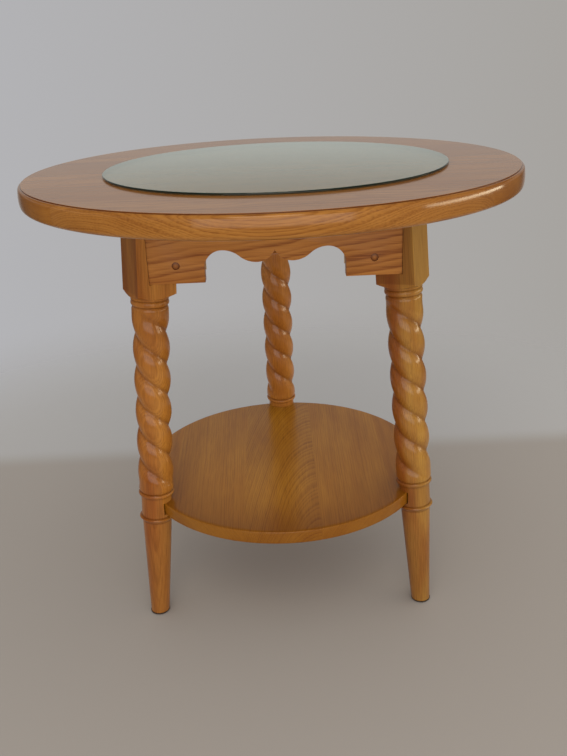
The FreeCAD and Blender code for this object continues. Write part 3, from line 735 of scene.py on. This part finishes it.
@dataclass
class BoardDisc:
    """A round panel glued up from boards, as the top and the shelf are."""

    node_stem: str
    slot: str
    run: GrainRun
    low: float
    lines: Sequence[float]
    reach: float
    cuts: Sequence[LogCut]
    tones: Sequence[tuple[str, str]]
    line_strengths: Sequence[float]
    coat_weight: float = 0.85
    coat_roughness: float = 0.13

    def profile(self) -> list[Point2]:
        """Give the section of the panel, as radius and height in millimetres."""
        raise NotImplementedError

    def stain(self, point: Vector) -> float:
        """Tell how dark the wood is at a point, from extra staining that it has drunk and from painted shade.
        """
        raise NotImplementedError

    def build(self) -> None:
        """Turn the panel, rip it into its boards and dress each one."""
        whole = turned_solid(self.profile(), 288)
        along, axis = (RIGHT, BACK) if self.run is GrainRun.ALONG_X else (BACK, RIGHT)
        edges = [-self.reach, *self.lines, self.reach]
        for index, (near, far) in enumerate(zip(edges, edges[1:])):
            node = f"{self.node_stem}_{index + 1}"
            board = link_mesh(f"{node}_wood", slice_between(whole, axis, near, far), 24)
            paint_stain_and_shade(board, self.stain)
            wood = StainedAsh(
                f"stained_ash_{node}", along, UP, axis * (near + far) / 2 * MM + UP * self.low * MM,
                self.cuts[index], 3.7 * index + len(self.node_stem), *self.tones[index],
                line_strength=self.line_strengths[index],
                coat_weight=self.coat_weight, coat_roughness=self.coat_roughness,
            )
            dress(board, [wood], "frame", node)
        whole.free()


@dataclass
class TableTop(BoardDisc):
    """The moulded top, 26 inches across, from six boards that run from left to right."""

    radius: float = 329.95
    thickness: float = 28
    ledge_inset: float = 4.7
    quirk: float = 1.2
    belly: float = 1.5
    bevel: float = 0.35
    upper_round: float = 3.0
    lower_round: float = 5.0

    def profile(self) -> list[Point2]:
        """Give the section of the top."""
        low, high = self.low, self.low + self.thickness
        ledge = high - self.quirk
        rim, step = self.radius - self.belly, self.radius - self.ledge_inset
        bend = (ledge - low) ** 2 / (8 * self.belly) + self.belly / 2
        side = [*arc((rim, low), (rim, ledge), bend, 1, 16), (rim, ledge)]
        return [
            (0, low),
            (rim * 0.5, low),
            *rounded_corner((0, low), side[0], side[4], self.lower_round, 6),
            *(point for point in side if low + self.lower_round < point[1] < ledge - self.upper_round),
            *rounded_corner(side[-4], side[-1], (0, ledge), self.upper_round, 5),
            (step, ledge),
            (step, high - self.bevel),
            (step - self.bevel, high),
            (rim * 0.5, high),
            (0, high),
        ]

    def stain(self, point: Vector) -> float:
        """Darken the step round the upper face with painted shade and gathered staining, the end grain at both
        sides, and the rim's right half.
        """
        radius = math.hypot(point.x, point.y) / MM
        past_step = radius - self.radius + self.ledge_inset
        # painted shade in the step round the upper face, deepest on its wall and ledge, with some staining
        # gathered there
        if abs(past_step) < 0.25:
            return 0.9 if point.z / MM < self.low + self.thickness - 0.2 else 0.3
        if past_step < 0:
            return 0.0
        aside = point.x / MM / radius
        return max(0.4 * clamp((abs(aside) - 0.84) / 0.12), 0.13 * clamp((aside - 0.1) / 0.3))


@dataclass
class Shelf(BoardDisc):
    """The round shelf, from five boards that run from front to back."""

    radius: float = 210
    thickness: float = 18
    edge_round: float = 1.5

    def profile(self) -> list[Point2]:
        """Give the section of the shelf."""
        low, high = self.low, self.low + self.thickness
        return [
            (0, low),
            (self.radius * 0.5, low),
            *rounded_corner((0, low), (self.radius, low), (self.radius, high), self.edge_round, 4),
            *rounded_corner((self.radius, low), (self.radius, high), (0, high), self.edge_round, 4),
            *((self.radius * share, high) for share in (0.97, 0.9, 0.8, 0.7, 0.6, 0.5)),
            (0, high),
        ]

    def stain(self, point: Vector) -> float:
        """Darken the end grain at the front and back of the rim, and paint shade on the upper face towards the
        front.
        """
        radius = math.hypot(point.x, point.y) / MM
        if radius > self.radius - 0.9 * self.edge_round:
            return 0.5 * clamp((abs(point.y) / MM / self.radius - 0.3) / 0.4)
        # painted shade on the upper face, growing outwards and towards the front
        outward = max((radius / self.radius - 0.55) / 0.45, 0)
        frontward = clamp(0.4 - 0.9 * point.y / MM / max(radius, 1))
        return 0.6 * outward * frontward if point.z / MM > self.low + self.thickness / 2 else 0.0

    def slot_cutter(self, gap: float = 2) -> Thing:
        """Make the disc that cuts the shelf's slots in the legs, wider than the shelf by a gap."""
        radius, high = self.radius + gap, self.low + self.thickness
        profile = [(0, self.low), (radius, self.low), (radius, high), (0, high)]
        # 126 steps keep the cutter's own edges off the lines of the legs
        return link_mesh("slot_cutter", turned_solid(profile, 126))


@dataclass
class GlassDisc:
    """The loose glass disc, 18 inches across, with its polished pencil edge."""

    radius: float = 228.5
    thickness: float = 3.2
    edge_round: float = 1.3
    centre: Point2 = (6, -2)
    low: float = 629
    rest_gap: float = 0.05

    def build(self) -> None:
        """Turn the disc and dress it."""
        low, high = self.low + self.rest_gap, self.low + self.thickness
        rim = (self.radius, (low + high) / 2)
        profile = [
            (0, low),
            *rounded_corner((0, low), (self.radius, low), rim, self.edge_round, 5),
            *rounded_corner(rim, (self.radius, high), (0, high), self.edge_round, 5),
            (0, high),
        ]
        place = Matrix.Translation((self.centre[0] * MM, self.centre[1] * MM, 0))
        disc = link_mesh("glass_disc_polished", turned_solid(profile, 256, place), 60)
        edge = PolishedGlassEdge("float_glass_polished_edge", low * MM, high * MM)
        dress(disc, [FloatGlass(), GlassUnderside(), edge], "glass", "glass_disc")
        for polygon in disc.data.polygons:
            if abs(polygon.normal.z) < 0.97:
                polygon.material_index = 2
            elif polygon.normal.z < 0:
                polygon.material_index = 1


@dataclass
class TwistLeg:
    """A leg: square block, turned beads, a left-hand two-start barley twist, a collar and a taper."""

    place: LegPlace
    cut: LogCut
    seed: float
    pale: str = "#AB7D35"
    deep: str = "#864A1A"
    # painted light: how fast the leg is painted paler towards the table's right, per millimetre
    painted_light_rate: float = 0.012
    # painted shade: the block side that is painted darker, away from the light, and how dark
    shaded_side: float | None = None
    side_shade: float = 0.3
    # painted shade on the collar
    collar_shade: float = 0.0
    foot_circle: float = 225.5
    lean_degrees: float = 4.1
    block_side: float = 53.3
    block_chamfer: float = 0.8
    top_level: float = 601
    floor_level: float = 3
    taper_top: float = 157
    ring_top: float = 165
    collar_top: float = 196.5
    collar_radius: float = 21.4
    neck: float = 23
    bead: float = 8.7
    band_top: float = 11.5
    shoulder: float = 6.4
    twist: Point2 = (203.1, 472.5)
    twist_radius: float = 24.5
    twist_depth: float = 5.3
    twist_lead: float = 90
    twist_angle: float = 9
    twist_fade: float = 30
    twist_shoulder: float = 5
    twist_end: float = 22.6
    starts: int = 2
    columns: int = 96

    @property
    def matrix(self) -> Matrix:
        """The leg's own frame: x points away from the middle and z runs up the axis."""
        out = Matrix.Translation((self.foot_circle * MM, 0, 0))
        return self.place.swing @ out @ Matrix.Rotation(math.radians(-self.lean_degrees), 4, "Y")

    def turned_profile(self) -> list[Point2]:
        """Give height and radius of the plain turned work, from the floor to the shoulder."""
        low, high = self.twist
        taper, ring = (self.taper_top, 20.6), (162.3, 24.6)
        waist, collar = (self.ring_top, self.collar_radius), (self.collar_top, self.collar_radius)
        bead = high + self.bead
        return [
            (-12.0, 12.85),
            taper,
            *self.bulge(taper, ring, 9, -1),
            *self.bulge(ring, waist, 3.6, 1),
            waist,
            collar,
            *self.bulge(collar, (low, self.neck), 3.5, 1),
            (low, self.neck),
            (low + 0.05, self.twist_end),
            (high - 0.05, self.twist_end),
            (high, self.neck),
            *self.bulge((high, self.neck), (bead, self.neck), 5.3, 1),
            (bead, self.neck),
            (bead + 0.05, 25.0),
            (high + self.band_top, 25.0),
            (high + self.band_top + self.shoulder, 38.4),
            (high + 20, 60.0),
        ]

    @staticmethod
    def bulge(start: Point2, end: Point2, radius: float, side: int) -> list[Point2]:
        """Give height and radius along a bead or cove."""
        points = arc((start[1], start[0]), (end[1], end[0]), radius, side, 9)
        return [(height, out) for out, height in points]

    def rows(self) -> list[float]:
        """Give the heights of the mesh's rows, with extra ones beside the grooves."""
        low, high = self.twist
        count = round((high - low) / 2)
        marks = [
            *(height for height, radius in self.turned_profile() if height < high + 18),
            *(self.taper_top * step / 12 for step in range(12)),
            155.4, 166.9, 180, 194.8, high + 10.6,
            *(low + (high - low) * step / count for step in range(1, count)),
            low + 0.6, low + 1.3, high - 0.6, high - 1.3,
            *(high + self.band_top + self.shoulder * step / 10 for step in range(11)),
            *(high + 19 + 120 * step / 8 for step in range(9)),
        ]
        return sorted(set(round(mark, 3) for mark in marks))

    def angles(self) -> list[float]:
        """Give the angles of the mesh's columns, with extra ones at the block's corners."""
        half = self.block_side / 2
        corner = math.degrees(math.atan2(half, half - self.block_chamfer)) - 45
        corners = [quarter + 45 + turn for quarter in range(0, 360, 90) for turn in (corner, -corner)]
        return sorted([*(360 * step / self.columns for step in range(self.columns)), *corners])

    def turned_radius(self, height: float) -> float:
        """Give the radius of the plain turned work at a height."""
        profile = self.turned_profile()
        for (low, first), (high, second) in zip(profile, profile[1:]):
            if low <= height <= high:
                return first if high == low else first + (second - first) * (height - low) / (high - low)
        return profile[-1][1]

    def from_twist_end(self, height: float) -> float:
        """Tell how far a height is inside the twist's nearer end."""
        return min(height - self.twist[0], self.twist[1] - height)

    def ridge_share(self, height: float, angle: float) -> float:
        """Tell how far round a ridge a place on the twist is: 0 on a crest, 1 and -1 in the valleys."""
        half = 180 / self.starts
        crest = self.twist_angle + half + 360 * (self.twist[1] - height) / self.twist_lead
        return ((angle - crest + half) % (2 * half) - half) / half

    def valley_depth(self, height: float) -> float:
        """Give the depth of the valleys at a height."""
        fade = clamp(self.from_twist_end(height) / self.twist_fade)
        return self.twist_depth * fade * fade * (3 - 2 * fade)

    def radius_at(self, height: float, angle: float) -> float:
        """Give the leg's radius at a height and an angle, in millimetres and degrees."""
        if self.from_twist_end(height) > 0:
            climb = min(self.from_twist_end(height) / self.twist_shoulder, 1)
            crest = self.twist_end + (self.twist_radius - self.twist_end) * math.sin(math.pi / 2 * climb)
            return crest - self.valley_depth(height) * self.ridge_share(height, angle) ** 2
        across, along = sorted(abs(way(math.radians(angle))) for way in (math.cos, math.sin))
        square = min(self.block_side / 2 / along, (self.block_side - self.block_chamfer) / (across + along))
        return min(self.turned_radius(height), square)

    def to_table(self, height: float, angle: float) -> Vector:
        """Give a surface point in the table's frame, trimmed level at the floor and under the top."""
        turn = math.radians(angle)
        radius = self.radius_at(height, angle) * MM
        point = self.matrix @ Vector((radius * math.cos(turn), radius * math.sin(turn), height * MM))
        axis = self.matrix.to_3x3() @ UP
        level = min(max(point.z, self.floor_level * MM), self.top_level * MM)
        return point + axis * (level - point.z) / axis.z

    def stain(self, point: Vector) -> float:
        """Tell how dark a place is: staining gathered with painted shade in the valleys and grooves, painted
        shade on the collar and on one block side, and darker towards the foot.
        """
        local = self.matrix.inverted() @ point
        height, angle = local.z / MM, math.degrees(math.atan2(local.y, local.x))
        low, high = self.twist
        dark_stain_and_shade = 0.0
        # the twist's valleys darken with staining gathered there and with painted shade
        if self.from_twist_end(height) > 0:
            depth = self.valley_depth(height) / self.twist_depth
            dark_stain_and_shade = 0.5 * depth * max(0.0, (abs(self.ridge_share(height, angle)) - 0.7) / 0.3) ** 2
        # the turned grooves darken with staining gathered there and with painted shade
        grooves = ((self.taper_top, 1.4), (self.ring_top, 1.8), (self.collar_top, 1.6), (low, 1.6),
                   (high, 1.8), (high + self.bead, 1.8))
        dark_stain_and_shade = max(dark_stain_and_shade, *(0.5 * (1 - abs(height - groove) / width) for groove, width in grooves))
        # painted shade on the collar
        if self.taper_top < height < low:
            dark_stain_and_shade = max(dark_stain_and_shade, self.collar_shade)
        # painted shade on one side of the block, away from the light
        if self.shaded_side is not None and height > high + 18:
            on_side = abs((angle - self.shaded_side + 180) % 360 - 180) < 44.7
            dark_stain_and_shade = self.side_shade if on_side else 0.0
        # darker towards the foot
        return max(dark_stain_and_shade, 0.17 * clamp((150 - height) / 60))

    def build(self, shelf: Shelf, aprons: Sequence["Apron"]) -> None:
        """Build the leg, house the aprons and the shelf in it, and dress it.

        Args:
            shelf: The shelf that sits in the leg's slot.
            aprons: The aprons whose ends are let into the block.
        """
        heights, angles = self.rows(), self.angles()
        points = [self.to_table(height, angle) for height in heights for angle in angles]
        wide = len(angles)
        faces: list[Sequence[int]] = [list(range(wide))[::-1]]
        for row in range(0, len(points) - wide, wide):
            for column in range(wide):
                after = (column + 1) % wide
                faces.append((row + column, row + after, row + wide + after, row + wide + column))
        faces.append(range(len(points) - wide, len(points)))
        leg = mesh_object(f"turned_leg_{self.place.label}", points, faces, 30)
        carve(leg, [shelf.slot_cutter(), *[apron.housing() for apron in aprons]])
        paint_stain_and_shade(leg, self.stain)
        turn = self.matrix.to_3x3()
        axis = turn @ UP
        # the leg is painted paler towards the table's right, as painted light
        wood = StainedAsh(
            f"stained_ash_leg_{self.place.label}", axis, turn @ RIGHT, self.matrix.translation.copy(),
            self.cut, self.seed, self.pale, self.deep, line_strength=0.38, fibre_strength=0.16,
            coat_weight=0.8, coat_roughness=0.16, painted_light_way=(RIGHT - axis * axis.x) * self.painted_light_rate,
        )
        dress(leg, [wood], "frame", f"leg_{self.place.label}")


@dataclass
class Apron:
    """A scalloped apron with its sawn arch, lobes and cusp, bored for two plugs."""

    place: ApronPlace
    cut: LogCut
    seed: float
    distance: float = 121
    thickness: float = 19
    length: float = 320
    low: float = 504
    high: float = 601
    end_gap: float = 0.2
    ease: float = 0.8
    plug_places: Sequence[Point2] = ((-125, 23), (125, 23))
    plug_radius: float = 5
    plug_recess: float = 0.8
    bore_depth: float = 8

    @property
    def matrix(self) -> Matrix:
        """The apron's own frame: x along it, -y out of its face and z up from its lower edge."""
        return self.place.swing @ Matrix.Translation((0, -self.distance * MM, self.low * MM))

    def outline(self) -> list[Point2]:
        """Give the apron's outline in millimetres, from the right end round by the scallops."""
        marks = ((89.2, 17.8), (66.7, 40.3), (44.65, 31.9), (22.6, 23.5), (0, 38.2))
        bends = ((22.5, 1, 14), (33.1, 1, 10), (33.1, -1, 10), (24.7, -1, 12))
        scallops = []
        for start, end, bend in zip(marks, marks[1:], bends):
            scallops += arc(start, end, *bend)
        half = self.length / 2
        right = [(half, self.high - self.low), (half, 0), (marks[0][0], 0), *scallops]
        return [*right, marks[-1], *((-x, z) for x, z in reversed(right))]

    def build(self) -> None:
        """Saw out the apron, ease its arrises, bore it and dress it."""
        work = bmesh.new()
        front = work.faces.new([work.verts.new((x * MM, 0, z * MM)) for x, z in self.outline()])
        back = bmesh.ops.extrude_face_region(work, geom=[front])["geom"]
        moved = [item for item in back if isinstance(item, bmesh.types.BMVert)]
        bmesh.ops.translate(work, verts=moved, vec=(0, self.thickness * MM, 0))
        bmesh.ops.recalc_face_normals(work, faces=work.faces)
        end = (self.length / 2 - 0.1) * MM
        arrises = [
            edge for edge in work.edges
            if abs(edge.verts[0].co.y - edge.verts[1].co.y) < MM / 10
            and min(abs(vertex.co.x) for vertex in edge.verts) < end
        ]
        bmesh.ops.bevel(work, geom=arrises, offset=self.ease * MM, segments=2, profile=0.5, affect="EDGES")
        board = link_mesh(f"apron_board_{self.place.label}", work, 30)
        bore = [(0, -1), (self.plug_radius, -1), (self.plug_radius, self.bore_depth), (0, self.bore_depth)]
        carve(board, [link_mesh("bore_cutter", turned_solid(bore, 40, hole)) for hole in self.holes()])
        board.data.transform(self.matrix)
        turn = self.matrix.to_3x3()
        wood = StainedAsh(
            f"stained_ash_apron_{self.place.label}", turn @ RIGHT, turn @ -BACK, self.matrix.translation.copy(),
            self.cut, self.seed, "#B37534", "#A06226", "#74380E", line_strength=0.85,
        )
        dress(board, [wood], "frame", f"apron_{self.place.label}")

    def holes(self, depth: float = 0) -> list[Matrix]:
        """Give the frames of the plugs' holes in the apron's frame, with z into the wood from a depth."""
        inward = Matrix.Rotation(math.radians(-90), 4, "X")
        return [Matrix.Translation((x * MM, depth * MM, z * MM)) @ inward for x, z in self.plug_places]

    def housing(self) -> Thing:
        """Make the box that houses this apron's ends in the leg blocks, in the table's frame."""
        half = self.length / 2 + self.end_gap
        corners = [Vector((x, y, z)) * MM
                   for x in (-half, half) for y in (-60, self.thickness) for z in (0, 120)]
        faces = [(0, 1, 3, 2), (4, 6, 7, 5), (0, 4, 5, 1), (2, 3, 7, 6), (0, 2, 6, 4), (1, 5, 7, 3)]
        return mesh_object("housing_cutter", [self.matrix @ corner for corner in corners], faces)


@dataclass
class PlugSet:
    """The wood plugs over the apron screws: end-grain buttons set just under the face."""

    aprons: Sequence[Apron]
    radius: float = 4.95
    thickness: float = 4
    ease: float = 0.5
    crown: float = 0.25

    def stain(self, point: Vector) -> float:
        """Darken the rim of each plug with painted shade in its recess, where the lacquer also gathers."""
        gaps = []
        for apron in self.aprons:
            place = apron.matrix.inverted() @ point / MM
            gaps += [math.hypot(place.x - x, place.z - z) for x, z in apron.plug_places
                     if abs(place.y) < 2 * self.thickness]
        # painted shade round the rim of each plug
        return 0.85 if min(gaps) > self.radius - self.ease - 0.2 else 0.0

    def build(self) -> None:
        """Turn the plugs and dress them."""
        profile = [
            (0, self.thickness),
            (self.radius, self.thickness),
            *rounded_corner((self.radius, self.thickness), (self.radius, 0), (0, 0), self.ease, 3),
            (0, -self.crown),
        ]
        whole = bmesh.new()
        for apron in self.aprons:
            for hole in apron.holes(apron.plug_recess):
                turned_solid(profile, 40, apron.matrix @ hole, whole)
        plugs = link_mesh("end_grain_plugs", whole, 50)
        paint_stain_and_shade(plugs, self.stain)
        wood = StainedAsh(
            "stained_ash_plugs", UP, -BACK, Vector((0, 0, 0)), LogCut((12, 9), 1.6, wander_mm=1), 2.0,
            "#AA6A2A", "#9C5C20", "#6E3C10", line_strength=0.3,
        )
        dress(plugs, [wood], "frame", "screw_plugs")


# Stage, light and camera


@dataclass
class Stage:
    """A plain pale floor."""

    radius: float = 1.6
    steps: int = 96

    def build(self) -> None:
        """Lay the floor."""
        angles = [math.tau * step / self.steps for step in range(self.steps)]
        rim = [Vector((self.radius * math.cos(a), self.radius * math.sin(a), 0)) for a in angles]
        floor = mesh_object("floor", rim, [range(self.steps)])
        floor.data.materials.append(PlainFloor().make())


@dataclass
class StudioLight:
    """Plain soft light, fuller from the front and right, round a pale sheet behind the table.

    A pair of numbers says where along a direction something starts to show and where it is whole.
    """

    room_left: str = "#B3B3B6"
    room_right: str = "#A7A4A0"
    room_turn: Point2 = (-0.32, 0.32)
    sheet: str = "#B6B4B0"
    dim: str = "#4A4642"
    haze: str = "#8C8985"
    level: float = 0.8
    brighter: Point2 = (0.1, -0.34)
    sheet_edge: Point2 = (0.62, 0.32)
    sheet_back: Point2 = (-0.1, 0.4)
    sheet_top: Point2 = (0.6, 0.5)
    haze_middle: float = 0.14
    haze_reach: Point2 = (0.13, 0.07)

    def build(self) -> None:
        """Light the table."""
        world = bpy.data.worlds.new("pale_room")
        bpy.context.scene.world = world
        fill_tree(world, self.shader)
        self.lamp("high_softbox", (-0.1, -1.7, 2.0), (0, 0, 0.4), (1.0, 1.0), 9, "#FFF1DC")
        self.lamp("low_fill", (0, -2.6, 0.75), (0, 0, 0.45), (3.2, 1.1), 14)
        self.lamp("right_window", (2.1, -0.21, 0.57), (0.2, -0.25, 0.6), (1.84, 0.15), 6.4, "#FFEFCC")

    def shader(self, add: Adder) -> Socket:
        """Lay out the world: even light for what is lit, and surroundings for what is seen or mirrored."""
        toward = add("TexCoord", out="Generated")
        brighter = Vector((*self.brighter, 0)) * self.level
        slope = add("VectorMath DOT_PRODUCT", (toward, brighter), "Value")
        strength = add("Math ADD", (slope, self.level))
        lit = add("Background", {"Color": (1.0, 1.0, 1.0, 1.0), "Strength": strength})
        x, y, z = add("SeparateXYZ", (toward,)).node.outputs
        level = add("Math SUBTRACT", (z, self.haze_middle))
        aside, off = (add("Math ABSOLUTE", (value,)) for value in (x, level))
        pale, behind, below, hazy = (
            add("MapRange", (value, start, whole), interpolation_type="SMOOTHSTEP")
            for value, (start, whole) in (
                (aside, self.sheet_edge), (y, self.sheet_back), (z, self.sheet_top), (off, self.haze_reach),
            )
        )
        for share in (behind, below):
            pale = add("Math MULTIPLY", (pale, share))
        around = add("Mix", {0: hazy, 6: self.dim, 7: self.haze}, **COLOURS)
        mirrored = add("Mix", {0: pale, 6: around, 7: self.sheet}, **COLOURS)
        right = add("MapRange", (x, *self.room_turn))
        room = add("Mix", {0: right, 6: self.room_left, 7: self.room_right}, **COLOURS)
        rays = add("LightPath").node.outputs
        colour = add("Mix", {0: rays["Is Camera Ray"], 6: mirrored, 7: room}, **COLOURS)
        shown = add("Background", {"Color": colour, "Strength": 1.0})
        seen = rays["Is Camera Ray"]
        for ray in ("Is Glossy Ray", "Is Transmission Ray"):
            seen = add("Math MAXIMUM", (seen, rays[ray]))
        return add("MixShader", (seen, lit, shown))

    def lamp(
        self, name: str, place: Sequence[float], target: Sequence[float], size: Point2, power: float,
        tint: str = "#FFFFFF",
    ) -> None:
        """Hang a softbox.

        Args:
            name: The lamp's name.
            place: Its place in metres.
            target: The point that it faces.
            size: Its width and height in metres.
            power: Its power in watts.
            tint: Its colour.
        """
        data = bpy.data.lights.new(name, "AREA")
        data.shape = "RECTANGLE"
        data.size, data.size_y = size
        data.energy = power
        data.color = srgb(tint)[:3]
        lamp = bpy.data.objects.new(name, data)
        lamp.location = place
        lamp.rotation_euler = (Vector(target) - Vector(place)).to_track_quat("-Z", "Y").to_euler()
        bpy.context.scene.collection.objects.link(lamp)


@dataclass
class PhotoCamera:
    """The camera at the photograph's viewing angle, fitted to the rims, legs and shelf."""

    distance: float = 1147.3
    height: float = 788.8
    yaw: float = 0.226
    pitch: float = 22.246
    roll: float = -2.5
    focal_pixels: float = 835.9
    picture_height: float = 756
    sensor: float = 36

    def build(self) -> None:
        """Set up the camera."""
        data = bpy.data.cameras.new("photo_camera")
        data.sensor_width = self.sensor
        data.sensor_fit = "AUTO"
        data.lens = self.focal_pixels / self.picture_height * self.sensor
        camera = bpy.data.objects.new("photo_camera", data)
        place = Matrix.Translation(Vector((0, -self.distance, self.height)) * MM)
        for turn, axis in ((-self.yaw, "Z"), (90 - self.pitch, "X"), (self.roll, "Z")):
            place = place @ Matrix.Rotation(math.radians(turn), 4, axis)
        camera.matrix_world = place
        bpy.context.scene.collection.objects.link(camera)
        bpy.context.scene.camera = camera


def main() -> None:
    """Build the table piece by piece, then its stage, light and camera."""
    logging.basicConfig(level=logging.INFO, format="%(name)s: %(message)s")
    PhotoCamera().build()
    Stage().build()
    StudioLight().build()
    top = TableTop(
        node_stem="top_board", slot="top_wood", run=GrainRun.ALONG_X, low=601,
        lines=[-220, -110, 0, 110, 220], reach=331,
        cuts=[
            LogCut((12, -46), 2.8, 0.8, 0.6, 5, 2.2),
            LogCut((-30, 95), 3.2, 1.4, -0.8),
            LogCut((18, -70), 3.0, 2.2, 0.5),
            LogCut((-8, 105), 2.8, -1.5, 1.0),
            LogCut((35, -60), 3.4, 1.8, -0.6),
            LogCut((-15, 90), 3.0, 1.2, 0.8),
        ],
        line_strengths=[0.7, 0.36, 0.34, 0.34, 0.34, 0.34],
        tones=[("#A26C2E", "#915C22"), ("#9A6220", "#895318"), ("#A06724", "#8D561C"),
               ("#965E1E", "#864F16"), ("#9E6522", "#8D551A"), ("#9A6220", "#895118")],
    )
    top.build()
    shelf = Shelf(
        node_stem="shelf_board", slot="shelf_wood", run=GrainRun.ALONG_Y, low=169,
        lines=[-163.8, -58.8, 46.2, 151.2], reach=211,
        cuts=[
            LogCut((20, -120), 3.0, 0.8, 0.4),
            LogCut((120, -110), 2.6, 0.6, -0.5, 2),
            LogCut((-54, -60), 2.4, 10.5, 0.8, 1.5),
            LogCut((-130, -110), 2.6, 0.6, 0.6, 2),
            LogCut((-10, 180), 2.8, 1.0),
        ],
        line_strengths=[0.35, 0.38, 0.6, 0.38, 0.35],
        tones=[("#AC6F18", "#9C6011"), ("#B0761F", "#A06616"), ("#B0771F", "#A06716"),
               ("#AF751E", "#9F6515"), ("#AA6E18", "#9A5F11")],
        coat_weight=0.6,
        coat_roughness=0.22,
    )
    shelf.build()
    GlassDisc().build()
    aprons = [
        Apron(ApronPlace.FRONT, LogCut((-110, -50), 9.0, 1.0, -7, 15, 4.5), 1.3),
        Apron(ApronPlace.RIGHT, LogCut((150, -60), 8.6, -1.0, 5, 15, 4.5), 4.1),
        Apron(ApronPlace.LEFT, LogCut((-120, -60), 8.8, 1.0, 5, 15, 4.5), 7.9),
    ]
    for apron in aprons:
        apron.build()
    PlugSet(aprons).build()
    # every leg is painted paler towards the table's right as painted light; the front legs have painted shade
    # on one block side, and the right one also on its collar
    for leg in (
        TwistLeg(LegPlace.FRONT_LEFT, LogCut((140, -90), 2.0, 0.5, 0.4, 2), 2.2, "#B0742F", "#884A17",
                 0.008, 0, 0.25),
        TwistLeg(LegPlace.FRONT_RIGHT, LogCut((-120, 120), 1.9, 0.5, 0.3, 2), 5.6,
                 painted_light_rate=0.02, shaded_side=-90, side_shade=0.36, collar_shade=0.2),
        TwistLeg(LegPlace.REAR, LogCut((150, 100), 2.0, 0.4, 0.5, 2), 8.4, "#B67834", "#A06024"),
    ):
        leg.build(shelf, aprons)
    coat_nodes(PlanedPoplar(), [f"corner_block_{place.label}" for place in LegPlace])
    coat_nodes(ZincPlatedSteel("yellow_zinc_steel", ("#B9A36A", "#8A8A86")), ["apron_screws", "top_screws"])
    coat_nodes(ZincPlatedSteel("bright_zinc_steel", ("#C4C6C8", "#8A8A86")), ["leg_lag_screws", "lag_washers"])
    coat_nodes(MouldedNylon(), ["foot_glides"])
    bpy.context.scene.view_settings.view_transform = "Standard"


if __name__ == "__main__":
    main()
